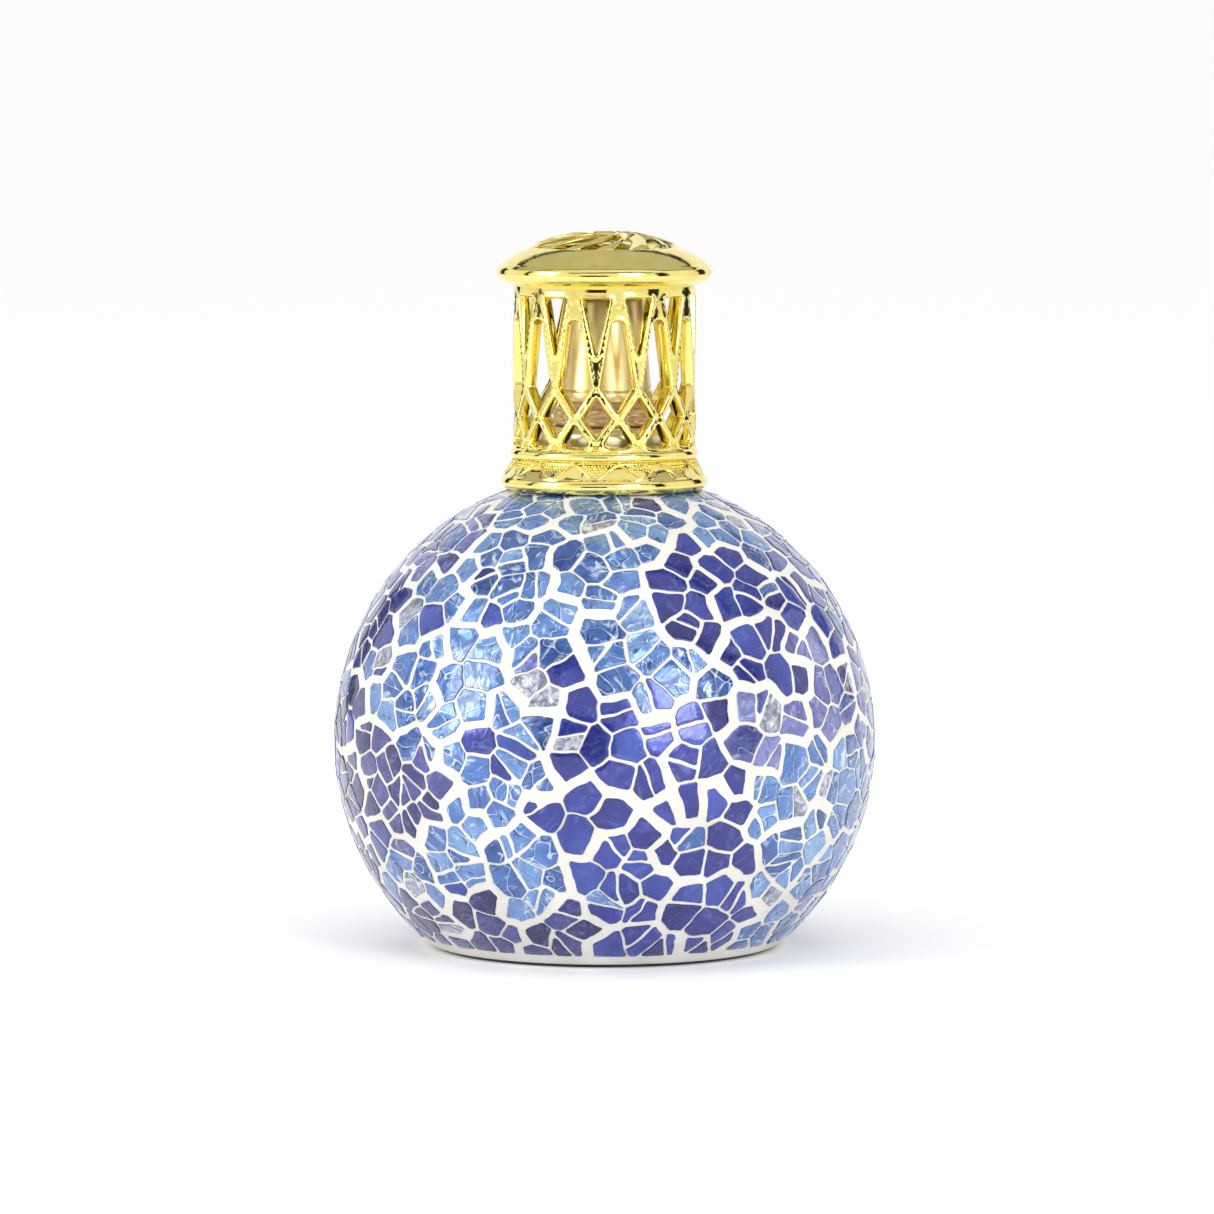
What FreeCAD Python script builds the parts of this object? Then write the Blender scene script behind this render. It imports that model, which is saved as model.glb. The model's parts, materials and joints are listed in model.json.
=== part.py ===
import FreeCAD, Part
import math
import os
import random
import re
import Sketcher

"""A catalytic fragrance lamp: a round glass bottle under a crackle-glass mosaic, a burner with its cotton
wick in the neck, a snuffer cap over the burner, and a gilt pierced crown that stands over both.

Millimetres. The origin is the centre of the underside, +Z is up and the front faces -Y.
Every outline of a turned piece is drawn as (distance from the axis, height)."""

Vector = FreeCAD.Vector
UP = Vector(0, 0, 1)
FULL_TURN = 360

# ---------------------------------------------------------------------------------------------- sizes

SIZES = (
    # the globe: every upright section is an arc whose centre is a little off the axis
    ("globe_arc", 44.4, "radius of the arc that the fragments' faces touch"),
    ("globe_shift", 0.6, "distance of the arc's centre from the axis"),
    ("globe_height", 34.5, "height of the globe's centre"),
    ("tile_proud", 0.2, "how far the fragments stand out of the grout"),
    ("tile_thickness", 1.5, "thickness of the crackled glass"),
    ("grout_thickness", 2.0, "grout and bond over the bottle"),
    ("glass_wall", 2.2, "wall of the blown bottle"),
    ("punt_radius", 19.0, "hollow under the bottle, radius"),
    ("punt_depth", 1.6, "hollow under the bottle, depth"),
    ("pad_radius", 27.6, "felt pad under the base"),
    ("pad_thickness", 0.6, "felt pad under the base"),
    # the neck and its collar
    ("neck_outer", 9.4, "glass neck, outside radius"),
    ("neck_bore", 7.4, "glass neck, inside radius"),
    ("neck_top", 85.4, "height of the glass rim"),
    ("grout_mouth", 12.2, "radius where the mosaic stops round the neck"),
    ("collar_outer", 11.0, "metal collar, outside radius"),
    ("collar_bottom", 76.0, "metal collar, lower edge"),
    ("collar_top", 86.8, "metal collar, upper face"),
    ("collar_lip", 7.6, "mouth radius of the collar's lip"),
    ("collar_round", 1.8, "rounding of the collar's upper edge"),
    ("cement", 0.4, "cement between collar and neck"),
    ("cement_top", 0.2, "cement between glass rim and lip"),
    # the burner
    ("mount_outer", 8.6, "burner mount, ring radius"),
    ("mount_top", 90.0, "burner mount, upper face"),
    ("mount_sleeve", 7.1, "burner mount, sleeve radius in the neck"),
    ("mount_bottom", 78.0, "burner mount, lower end of the sleeve"),
    ("mount_ledge", 4.4, "radius of the hole in the sleeve's floor"),
    ("mount_floor", 1.0, "thickness of the sleeve's floor"),
    ("mount_round", 0.9, "rounding of the ring's edges"),
    ("stone_radius", 5.6, "porous ceramic stone, radius"),
    ("stone_shoulder", 92.4, "height where the stone starts to round over"),
    ("stone_top", 94.6, "top of the stone"),
    ("stone_flat", 3.4, "radius of the stone's flat top"),
    ("wick_radius", 2.5, "cotton wick"),
    ("wick_play", 0.1, "gap round the wick in the stone"),
    ("wick_seat", 88.0, "upper end of the wick, inside the stone"),
    ("wick_end", 7.0, "lower end of the wick, over the bottle's floor"),
    # the snuffer cap
    ("cap_bottom", 91.0, "snuffer cap, lower edge"),
    ("cap_band", 7.9, "radius of the band at its mouth"),
    ("cap_band_top", 92.6, "top of that band"),
    ("cap_groove", 0.3, "groove over the band, depth and height"),
    ("cap_foot", 7.7, "radius over the groove"),
    ("cap_shoulder", 6.4, "radius at the top of the taper"),
    ("cap_shoulder_height", 107.2, "height of the top of the taper"),
    ("cap_top", 109.0, "top of the cap"),
    ("cap_wall", 1.0, "wall of the cap"),
    ("seal_inner", 6.0, "cap seal, mouth radius"),
    ("seal_outer", 7.6, "cap seal, flange radius"),
    ("seal_depth", 3.0, "how far the seal goes up into the cap"),
    # the crown
    ("crown_outer", 15.05, "lattice cylinder, outside radius"),
    ("crown_wall", 1.65, "lattice cylinder, wall"),
    ("crown_top", 110.0, "top of the lattice cylinder"),
    ("crown_bottom", 76.35, "outer edge of the flange's underside"),
    ("foot_outer", 16.2, "radius of that edge"),
    ("foot_inner", 14.6, "inner radius of the flange's underside"),
    ("foot_rise", 0.75, "how much higher the inner edge is, over the round shoulder"),
    ("bead_top", 78.8, "top of the bead round the foot"),
    ("bead_radius", 1.35, "section of that bead"),
    ("bead_neck", 16.55, "radius over the bead"),
    ("groove_radius", 14.9, "narrowest radius of the flange"),
    ("groove_height", 81.4, "height of the flange's groove"),
    ("flare_radius", 7.5, "hollow curve between bead and groove"),
    ("ring_top", 83.3, "top of the ring under the lattice"),
    ("ring_radius", 1.05, "section of that ring"),
    ("window_draft", 9.0, "draft of the lattice windows, degrees"),
    ("crown_turn", -5.0, "turn of the lattice about the axis, degrees"),
    ("rim_low", 17.0, "dome, radius of the rim's lower edge"),
    ("rim_low_height", 110.9, "dome, height of the rim's lower edge"),
    ("rim_high", 17.3, "dome, radius of the rim's upper edge"),
    ("rim_high_height", 113.5, "dome, height of the rim's upper edge"),
    ("rim_radius", 1.55, "section of the dome's rim"),
    ("dome_mouth", 12.6, "radius of the round opening in the dome"),
    ("dome_mouth_height", 116.3, "height of that opening's edge"),
    ("dome_curve", 13.0, "curve of the dome between rim and opening"),
    ("dome_wall", 1.3, "wall of the dome"),
    ("rosette_curve", 32.0, "curve of the rosette"),
    ("hub_radius", 2.1, "button in the middle of the rosette"),
    ("hub_height", 0.25, "height of that button over the rosette"),
    ("rosette_wall", 1.2, "thickness of the rosette"),
)

WINDOWS_AROUND = 13

doc = FreeCAD.newDocument("fragrance_lamp")
sheet = doc.addObject("Spreadsheet::Sheet", "Sizes")
for row, (alias, number, note) in enumerate(SIZES, start=1):
    sheet.set(f"A{row}", alias)
    sheet.set(f"B{row}", str(number))
    sheet.set(f"C{row}", note)
    sheet.setAlias(f"B{row}", alias)
doc.recompute()

ALIASES = {alias for alias, number, note in SIZES}

# Sizes worked out from the sheet, written with its aliases.
GLASS_ARC = "(globe_arc - tile_proud - grout_thickness)"
GROUT_ARC = "(globe_arc - tile_proud)"
INNER_ARC = "(globe_arc - tile_proud - grout_thickness - glass_wall)"
FLOOR = "(pad_thickness + glass_wall + 0.4)"
CROWN_INNER = "(crown_outer - crown_wall)"


def bound(text):
    """The text as an expression of the document: every alias gets the sheet's name in front of it."""
    return re.sub(r"[a-z_]+", lambda m: f"Sizes.{m[0]}" if m[0] in ALIASES else m[0], text)


def size(text):
    """The number that an expression of the sheet's aliases stands for."""
    return float(sheet.evalExpression(bound(text)))


def arc_height(arc, radius):
    """Height of the upper half of a globe arc at a distance from the axis, as an expression."""
    return f"globe_height + sqrt({arc}^2 - ({radius} - globe_shift)^2)"


def arc_radius(arc, height):
    """Distance from the axis of a globe arc at a height, as an expression."""
    return f"globe_shift + sqrt({arc}^2 - (globe_height - {height})^2)"


# ------------------------------------------------------------------------------------- drawing helpers


def new_body(name):
    body = doc.addObject("PartDesign::Body", name)
    body.Label = name
    return body


def origin_feature(body, role):
    return next(item for item in body.Origin.OriginFeatures if item.Role == role)


def arc_between(start, end, radius):
    """The short arc from start to end. It turns left when radius is positive and right when negative."""
    middle = (start + end) * 0.5
    along = end - start
    reach = math.sqrt(max(radius ** 2 - along.Length ** 2 / 4, 0))
    left = Vector(-along.y, along.x, 0).normalize()
    centre = middle + left * math.copysign(reach, radius)
    first, last = (start, end) if radius > 0 else (end, start)
    angles = [math.atan2(p.y - centre.y, p.x - centre.x) for p in (first, last)]
    return Part.ArcOfCircle(Part.Circle(centre, UP, abs(radius)), *angles)


def outline(body, name, role, corners, offset=None):
    """A closed sketch on one of the body's origin planes. A corner is (x, y) in the sheet's aliases, or
    (x, y, radius, side) where an arc leaves it, with side 1 for a turn to the left and -1 to the right."""
    sketch = body.newObject("Sketcher::SketchObject", name)
    sketch.AttachmentSupport = [(origin_feature(body, role), "")]
    sketch.MapMode = "FlatFace"
    if offset:
        sketch.AttachmentOffset = offset
    points = [Vector(size(corner[0]), size(corner[1]), 0) for corner in corners]
    ends = []
    bindings = []
    for index, corner in enumerate(corners):
        start = points[index]
        end = points[(index + 1) % len(points)]
        if len(corner) == 2:
            geometry = sketch.addGeometry(Part.LineSegment(start, end))
            ends.append((geometry, 1, 2))
            continue
        radius = size(corner[2])
        geometry = sketch.addGeometry(arc_between(start, end, radius * corner[3]))
        ends.append((geometry, 1, 2) if corner[3] > 0 else (geometry, 2, 1))
        bindings.append((Sketcher.Constraint("Radius", geometry, radius), corner[2]))
    for index, (geometry, first, last) in enumerate(ends):
        following, start, _ = ends[(index + 1) % len(ends)]
        sketch.addConstraint(Sketcher.Constraint("Coincident", geometry, last, following, start))
        point = points[index]
        across, upward = corners[index][:2]
        if abs(point.x) < 1e-9:
            sketch.addConstraint(Sketcher.Constraint("PointOnObject", geometry, first, -2))
        else:
            bindings.append((Sketcher.Constraint("DistanceX", -1, 1, geometry, first, point.x), across))
        bindings.append((Sketcher.Constraint("DistanceY", -1, 1, geometry, first, point.y), upward))
    for constraint, text in bindings:
        place = sketch.addConstraint(constraint)
        sketch.setExpression(f"Constraints[{place}]", bound(text))
    return sketch


def turned(name, corners):
    """A body made by turning an outline about the upright axis."""
    body = new_body(name)
    profile = outline(body, name + "_profile", "XZ_Plane", corners)
    turn = body.newObject("PartDesign::Revolution", name + "_turn")
    turn.Profile = profile
    turn.ReferenceAxis = (profile, ["V_Axis"])
    turn.Angle = FULL_TURN
    doc.recompute()
    return body


def cut_around(body, name, sketches, depth, count, draft=None):
    """Pockets made from the sketches, repeated round the axis, and proof that they take material away."""
    before = body.Shape.Volume
    pockets = []
    for index, sketch in enumerate(sketches):
        pocket = body.newObject("PartDesign::Pocket", f"{name}_pocket_{index}")
        pocket.Profile = sketch
        pocket.Type = "Length"
        pocket.setExpression("Length", bound(depth))
        if draft:
            pocket.setExpression("TaperAngle", bound(draft))
        doc.recompute()
        pockets.append(pocket)
    once = body.Shape.Volume
    around = body.newObject("PartDesign::PolarPattern", name + "_around")
    around.Originals = pockets
    around.Axis = (origin_feature(body, "Z_Axis"), [""])
    around.Angle = FULL_TURN
    around.Occurrences = count
    body.Tip = around
    doc.recompute()
    removed = (before - once, before - body.Shape.Volume)
    print(name, "one pitch removes", round(removed[0], 2), "mm3, all remove", round(removed[1], 2))
    if removed[0] <= 0 or removed[1] < removed[0] * (count - 0.5):
        raise RuntimeError(f"{name}: the pockets don't cut as they should")


# ---------------------------------------------------------------------------------- bottle and mosaic


def make_pad():
    """Thin felt disc on the underside. The lamp rests on it."""
    corners = [("0", "0"), ("pad_radius", "0"), ("pad_radius", "pad_thickness"), ("0", "pad_thickness")]
    return turned("base_pad", corners)


def make_bottle():
    """Blown round bottle with a straight neck and a shallow hollow under its base."""
    foot = arc_radius(GLASS_ARC, "pad_thickness")
    corners = [
        ("0", "pad_thickness + punt_depth"),
        ("punt_radius", "pad_thickness"),
        (foot, "pad_thickness", GLASS_ARC, 1),
        ("neck_outer", arc_height(GLASS_ARC, "neck_outer")),
        ("neck_outer", "neck_top"),
        ("neck_bore", "neck_top"),
        ("neck_bore", arc_height(INNER_ARC, "neck_bore"), INNER_ARC, -1),
        (arc_radius(INNER_ARC, FLOOR), FLOOR),
        ("punt_radius", FLOOR),
        ("0", FLOOR + " + punt_depth"),
    ]
    return turned("glass_vessel", corners)


def make_grout():
    """White cement layer over the bottle, from the pad to the neck. The fragments are bedded in it."""
    corners = [
        (arc_radius(GLASS_ARC, "pad_thickness"), "pad_thickness"),
        (arc_radius(GROUT_ARC, "pad_thickness"), "pad_thickness", GROUT_ARC, 1),
        ("grout_mouth", arc_height(GROUT_ARC, "grout_mouth")),
        ("grout_mouth", arc_height(GLASS_ARC, "grout_mouth"), GLASS_ARC, -1),
    ]
    return turned("grout_layer", corners)


# The mosaic. Panes of crackled glass about 15 mm across are laid with wide joints, and each has broken
# into fragments with hairline joints. A pane takes its colour from the nearest of these patches, given
# as the bearing from the front towards +X in degrees, the height, and the colour.
PATCHES = (
    (-10, 64, "light_blue"),
    (-38, 57, "light_blue"),
    (0, 47, "light_blue"),
    (-16, 38, "light_blue"),
    (-31, 22, "light_blue"),
    (44, 20, "light_blue"),
    (62, 24, "light_blue"),
    (24, 70, "light_blue"),
    (37, 57, "royal_blue"),
    (4, 35, "royal_blue"),
    (8, 20, "royal_blue"),
    (25, 21, "royal_blue"),
    (-57, 56, "royal_blue"),
    (72, 60, "royal_blue"),
    (50, 42, "violet"),
    (66, 36, "violet"),
    (-80, 62, "violet"),
    (-62, 40, "navy"),
    (-75, 24, "navy"),
    (-36, 6, "navy"),
    (105, 26, "royal_blue"),
    (98, 58, "light_blue"),
    (128, 42, "light_blue"),
    (150, 62, "royal_blue"),
    (158, 26, "light_blue"),
    (176, 46, "violet"),
    (188, 18, "royal_blue"),
    (200, 64, "light_blue"),
    (214, 38, "light_blue"),
    (232, 20, "violet"),
    (238, 58, "royal_blue"),
    (256, 40, "light_blue"),
)

# Chance of another colour inside a pane's patch: the first colour that the draw falls under.
STRAY_COLOURS = ((0.04, "clear"), (0.10, "royal_blue"), (0.16, "light_blue"), (0.18, "violet"))

MOSAIC_SEED = 11
PANE_SPACING = 13.5
FRAGMENT_SPACING = 4.6
HAIRLINE_JOINT = (0.32, 0.6)
WIDE_JOINT = (0.9, 2.0)
CHAMPED_SHARE = 0.42
LARGE_CELL = 17.0
SMALLEST_FRAGMENT = 1.6
NARROWEST_FRAGMENT = 0.55
REACH = 11.0
LOWEST_TILE = 2.2
TILE_MOUTH = 0.8


def globe_point(bearing, slope, arc):
    """Point of a globe arc and its outward normal, from the bearing and the slope of that normal."""
    flat = math.cos(slope)
    normal = Vector(flat * math.sin(bearing), -flat * math.cos(bearing), math.sin(slope))
    out = size("globe_shift") + arc * math.cos(slope)
    height = size("globe_height") + arc * math.sin(slope)
    return Vector(out * math.sin(bearing), -out * math.cos(bearing), height), normal


def scattered(draw, spacing, arc, lowest, highest, tries):
    """Points on the globe between two slopes, no two closer than the spacing where they fell."""
    kept = []
    low, high = math.sin(lowest), math.sin(highest)
    for _ in range(tries):
        slope = math.asin(draw.uniform(low, high))
        point, normal = globe_point(draw.uniform(-math.pi, math.pi), slope, arc)
        room = spacing * draw.uniform(0.78, 1.22)
        if all((point - other).Length > room for other, _ in kept):
            kept.append((point, normal))
    return kept


def clipped(polygon, direction, limit):
    """The part of a flat polygon of (x, y) pairs that lies under the limit along the direction."""
    result = []
    for index, corner in enumerate(polygon):
        following = polygon[(index + 1) % len(polygon)]
        here = corner[0] * direction[0] + corner[1] * direction[1] - limit
        there = following[0] * direction[0] + following[1] * direction[1] - limit
        if here <= 0:
            result.append(corner)
        if here * there < 0:
            share = here / (here - there)
            result.append(tuple(a + (b - a) * share for a, b in zip(corner, following)))
    return result


def without_short_edges(polygon, shortest=0.25):
    """The polygon without corners that lie almost on the one before."""
    return [p for i, p in enumerate(polygon) if math.dist(p, polygon[i - 1]) > shortest]


def area_of(polygon):
    return 0.5 * sum(a[0] * b[1] - b[0] * a[1] for a, b in zip(polygon, polygon[1:] + polygon[:1]))


def narrowest(polygon):
    """Least width of a convex polygon."""
    widths = []
    for a, b in zip(polygon, polygon[1:] + polygon[:1]):
        length = math.dist(a, b)
        across = ((a[1] - b[1]) / length, (b[0] - a[0]) / length)
        widths.append(max((p[0] - a[0]) * across[0] + (p[1] - a[1]) * across[1] for p in polygon))
    return min(widths)


def pane_colour(point):
    """Colour of the patch that a pane's centre is nearest to."""
    arc = size("globe_arc")
    middle = size("globe_height")

    def away(patch):
        slope = math.asin((patch[1] - middle) / arc)
        return (globe_point(math.radians(patch[0]), slope, arc)[0] - point).Length

    return min(PATCHES, key=away)[2]


def fragment_colour(draw, own):
    chance = draw.random()
    return next((colour for limit, colour in STRAY_COLOURS if chance < limit), own)


def mosaic_fragments():
    """Prisms of all fragments, by colour."""
    draw = random.Random(MOSAIC_SEED)
    sink = 0.08
    arc = size("globe_arc") - sink
    middle = size("globe_height")
    top_slope = math.acos((size("grout_mouth") + TILE_MOUTH) / arc)
    low_slope = math.asin((LOWEST_TILE - middle) / arc)
    top = middle + arc * math.sin(top_slope)
    panes = scattered(draw, PANE_SPACING, arc, low_slope, top_slope, 4000)
    colours = [pane_colour(point) for point, _ in panes]
    seeds = scattered(draw, FRAGMENT_SPACING, arc, low_slope, top_slope, 16000)
    owner = [min(range(len(panes)), key=lambda i: (panes[i][0] - point).Length) for point, _ in seeds]
    joint = {}
    prisms = {}
    for index, (point, normal) in enumerate(seeds):
        east = Vector(0, 0, 1).cross(normal).normalize()
        north = normal.cross(east)
        polygon = [(-REACH, -REACH), (REACH, -REACH), (REACH, REACH), (-REACH, REACH)]
        for other, (place, _) in enumerate(seeds):
            between = place - point
            if other == index or between.Length > 2 * REACH:
                continue
            pair = (min(index, other), max(index, other))
            if pair not in joint:
                widths = HAIRLINE_JOINT if owner[index] == owner[other] else WIDE_JOINT
                joint[pair] = draw.uniform(*widths)
            flat = (between.dot(east), between.dot(north))
            length = math.hypot(*flat)
            polygon = clipped(polygon, (flat[0] / length, flat[1] / length), (length - joint[pair]) / 2)
        polygon = clipped(polygon, (0, north.z), top - point.z)
        polygon = clipped(polygon, (0, -north.z), point.z - LOWEST_TILE)
        pieces = [polygon]
        if len(polygon) > 2 and area_of(polygon) > LARGE_CELL and draw.random() < CHAMPED_SHARE:
            turn = draw.uniform(0, math.pi)
            line = (math.cos(turn), math.sin(turn))
            shift = draw.uniform(-0.5, 0.5)
            half = draw.uniform(*HAIRLINE_JOINT) / 2
            opposite = (-line[0], -line[1])
            pieces = [clipped(polygon, line, shift - half), clipped(polygon, opposite, -shift - half)]
        for piece in pieces:
            piece = without_short_edges(piece)
            too_small = len(piece) < 3 or area_of(piece) < SMALLEST_FRAGMENT
            if too_small or narrowest(piece) < NARROWEST_FRAGMENT:
                continue
            corners = [point + east * x + north * y for x, y in piece]
            face = Part.Face(Part.makePolygon(corners + corners[:1]))
            colour = fragment_colour(draw, colours[owner[index]])
            prisms.setdefault(colour, []).append(face.extrude(normal * -size("tile_thickness")))
    return prisms


def make_mosaic():
    """One group of separate fragments for each colour of glass."""
    groups = []
    for colour, prisms in sorted(mosaic_fragments().items()):
        group = doc.addObject("Part::Feature", "tiles_" + colour)
        group.Label = "tiles_" + colour
        group.Shape = Part.makeCompound(prisms)
        group.Placement = FreeCAD.Placement()
        print(group.Label, len(prisms), "fragments")
        groups.append(group)
    return groups


# ------------------------------------------------------------------------------ collar, burner and cap


def make_collar():
    """Satin metal collar over the glass neck, with a lip over the rim."""
    inner = "neck_outer + cement"
    corners = [
        (inner, "collar_bottom"),
        ("collar_outer", "collar_bottom"),
        ("collar_outer", "collar_top - collar_round", "collar_round", 1),
        ("collar_outer - collar_round", "collar_top"),
        ("collar_lip", "collar_top"),
        ("collar_lip", "neck_top + cement_top"),
        (inner, "neck_top + cement_top"),
    ]
    return turned("neck_collar", corners)


def make_cement():
    """Cement that holds the collar on the neck."""
    corners = [
        ("neck_outer", "collar_bottom"),
        ("neck_outer + cement", "collar_bottom"),
        ("neck_outer + cement", "neck_top + cement_top"),
        ("collar_lip", "neck_top + cement_top"),
        ("collar_lip", "neck_top"),
        ("neck_outer", "neck_top"),
    ]
    return turned("collar_cement", corners)


def make_burner_mount():
    """Polished ring that rests on the collar, with a sleeve that hangs in the neck and holds the stone."""
    bore = "stone_radius"
    corners = [
        ("mount_ledge", "mount_bottom"),
        ("mount_sleeve", "mount_bottom"),
        ("mount_sleeve", "collar_top"),
        ("mount_outer - mount_round", "collar_top", "mount_round", 1),
        ("mount_outer", "collar_top + mount_round"),
        ("mount_outer", "mount_top - mount_round", "mount_round", 1),
        ("mount_outer - mount_round", "mount_top"),
        (bore, "mount_top"),
        (bore, "mount_bottom + mount_floor"),
        ("mount_ledge", "mount_bottom + mount_floor"),
    ]
    return turned("burner_mount", corners)


def make_stone():
    """Porous ceramic stone that burns the vapour. The wick ends in a blind hole in its underside."""
    hole = "wick_radius + wick_play"
    corners = [
        (hole, "mount_bottom + mount_floor"),
        ("stone_radius", "mount_bottom + mount_floor"),
        ("stone_radius", "stone_shoulder", "(stone_radius - stone_flat)", 1),
        ("stone_flat", "stone_top"),
        ("0", "stone_top"),
        ("0", "wick_seat"),
        (hole, "wick_seat"),
    ]
    return turned("catalytic_stone", corners)


def make_wick():
    """Cotton wick. It hangs straight down from the stone to just over the bottle's floor."""
    wick = doc.addObject("Part::Cylinder", "wick")
    wick.Label = "wick"
    wick.setExpression("Radius", bound("wick_radius"))
    wick.setExpression("Height", bound("wick_seat - wick_end"))
    wick.setExpression("Placement.Base.z", bound("wick_end"))
    return wick


def make_cap():
    """Satin snuffer cap: a tapered cup with a band round its mouth."""
    inside = "cap_foot - cap_wall"
    straight = "cap_bottom + seal_depth + 1"
    over_groove = "cap_band_top + cap_groove"
    corners = [
        (inside, "cap_bottom"),
        ("cap_band", "cap_bottom"),
        ("cap_band", "cap_band_top"),
        ("cap_foot - cap_groove", "cap_band_top"),
        ("cap_foot - cap_groove", over_groove),
        ("cap_foot", over_groove),
        ("cap_shoulder", "cap_shoulder_height", "(cap_top - cap_shoulder_height)", 1),
        ("cap_shoulder - (cap_top - cap_shoulder_height)", "cap_top"),
        ("0", "cap_top"),
        ("0", "cap_top - cap_wall"),
        ("cap_shoulder - 2 * cap_wall", "cap_top - cap_wall"),
        ("cap_shoulder - cap_wall", "cap_shoulder_height - cap_wall"),
        (inside, straight),
    ]
    return turned("snuffer_cap", corners)


def make_cap_seal():
    """Soft ring in the cap's mouth that closes it on the burner mount."""
    inside = "cap_foot - cap_wall"
    corners = [
        ("seal_inner", "mount_top"),
        ("seal_outer", "mount_top"),
        ("seal_outer", "cap_bottom"),
        (inside, "cap_bottom"),
        (inside, "cap_bottom + seal_depth"),
        ("seal_inner", "cap_bottom + seal_depth"),
    ]
    return turned("cap_seal", corners)


# -------------------------------------------------------------------------------------------- crown

# Lattice windows, each as its outer outline on the wall: (half width, height) down the right side.
# The flat-topped points and the diamonds under them share one bearing, and the arched windows and the
# low windows stand half a pitch away.
POINTED_WINDOW = {"half_width": 2.4, "top": 108.6, "tip": 98.1}
DIAMOND = {"half_width": 2.65, "top": 92.4, "middle": 88.75, "bottom": 85.3}
ARCHED_WINDOW = {"arch": 1.35, "spring": 103.55, "half_width": 3.05, "waist": 93.7, "tip": 89.35}
LOW_WINDOW = {"top": 88.1, "half_width": 2.35, "shoulder": 84.9, "corner": 0.9, "sill": 83.75}


def window_plane(half_pitches):
    """Offset that puts a sketch on the front plane just outside the wall, turned about the axis."""
    angle = half_pitches * FULL_TURN / WINDOWS_AROUND / 2
    turn = FreeCAD.Rotation(Vector(0, 1, 0), angle)
    outward = turn.multVec(Vector(0, 0, 1)) * (size("crown_outer") + 0.02)
    return FreeCAD.Placement(outward, turn)


def edge_sketch(body, name, role, offset, outlines):
    """A sketch of closed outlines, each a list of edges from end to end, held in place as drawn."""
    sketch = body.newObject("Sketcher::SketchObject", name)
    sketch.AttachmentSupport = [(origin_feature(body, role), "")]
    sketch.MapMode = "FlatFace"
    sketch.AttachmentOffset = offset
    for edges in outlines:
        for edge in edges:
            sketch.addGeometry(edge)
    for place in range(len(sketch.Geometry)):
        sketch.addConstraint(Sketcher.Constraint("Block", place))
    return sketch


def straight_edges(points):
    corners = [Vector(x, y, 0) for x, y in points]
    return [Part.LineSegment(a, b) for a, b in zip(corners, corners[1:] + corners[:1])]


def pointed_and_diamond():
    pointed = POINTED_WINDOW
    diamond = DIAMOND
    triangle = [
        (0, pointed["tip"]),
        (pointed["half_width"], pointed["top"]),
        (-pointed["half_width"], pointed["top"]),
    ]
    rhombus = [
        (0, diamond["bottom"]),
        (diamond["half_width"], diamond["middle"]),
        (0, diamond["top"]),
        (-diamond["half_width"], diamond["middle"]),
    ]
    return [straight_edges(triangle), straight_edges(rhombus)]


def arched_and_low():
    arched = ARCHED_WINDOW
    low = LOW_WINDOW
    spring = arched["spring"]
    arch = arched["arch"]
    tip = Vector(0, arched["tip"], 0)
    waist = [Vector(side * arched["half_width"], arched["waist"], 0) for side in (1, -1)]
    springs = [Vector(side * arch, spring, 0) for side in (1, -1)]
    tall = [
        Part.LineSegment(tip, waist[0]),
        Part.LineSegment(waist[0], springs[0]),
        Part.ArcOfCircle(Part.Circle(Vector(0, spring, 0), UP, arch), 0, math.pi),
        Part.LineSegment(springs[1], waist[1]),
        Part.LineSegment(waist[1], tip),
    ]
    half = low["half_width"]
    corner = low["corner"]
    sill = low["sill"]
    shoulder = low["shoulder"]
    right = Vector(half - corner, sill + corner, 0)
    left = Vector(corner - half, sill + corner, 0)
    apex = Vector(0, low["top"], 0)
    squat = [
        Part.LineSegment(Vector(left.x, sill, 0), Vector(right.x, sill, 0)),
        Part.ArcOfCircle(Part.Circle(right, UP, corner), -math.pi / 2, 0),
        Part.LineSegment(Vector(half, right.y, 0), Vector(half, shoulder, 0)),
        Part.LineSegment(Vector(half, shoulder, 0), apex),
        Part.LineSegment(apex, Vector(-half, shoulder, 0)),
        Part.LineSegment(Vector(-half, shoulder, 0), Vector(-half, left.y, 0)),
        Part.ArcOfCircle(Part.Circle(left, UP, corner), math.pi, 1.5 * math.pi),
    ]
    return [tall, squat]


def make_cage():
    """Cast crown: a flared foot on the globe's shoulder, and a cylinder pierced as a lattice."""
    foot_top = "crown_bottom + foot_rise"
    corners = [
        ("foot_inner", foot_top),
        ("foot_outer", "crown_bottom", "bead_radius", 1),
        ("bead_neck", "bead_top", "flare_radius", -1),
        ("groove_radius", "groove_height", "ring_radius", 1),
        ("crown_outer", "ring_top"),
        ("crown_outer", "crown_top"),
        (CROWN_INNER, "crown_top"),
        (CROWN_INNER, "groove_height"),
    ]
    body = turned("crown_cage", corners)
    sketches = [
        edge_sketch(body, "pointed_windows", "XZ_Plane", window_plane(0), pointed_and_diamond()),
        edge_sketch(body, "arched_windows", "XZ_Plane", window_plane(1), arched_and_low()),
    ]
    cut_around(body, "lattice", sketches, "crown_wall + 1.2", WINDOWS_AROUND, "window_draft")
    body.setExpression("Placement.Rotation.Angle", bound("crown_turn"))
    return body


def make_dome():
    """Spun dome with a rolled rim and a round opening, fixed on top of the lattice."""
    under = "dome_mouth_height - dome_wall"
    corners = [
        (CROWN_INNER, "crown_top"),
        ("crown_outer", "crown_top"),
        ("rim_low", "rim_low_height", "rim_radius", 1),
        ("rim_high", "rim_high_height", "dome_curve", 1),
        ("dome_mouth", "dome_mouth_height"),
        ("dome_mouth", under, "dome_curve", -1),
        ("rim_high - dome_wall", "rim_high_height - 0.9"),
        (CROWN_INNER + " + 0.6", "rim_low_height + 0.5"),
    ]
    return turned("crown_dome", corners)


SLOT = {"hub": 3.0, "edge": 11.3, "sweep": 66.0, "hub_width": 9.0, "edge_width": 13.0}


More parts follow.
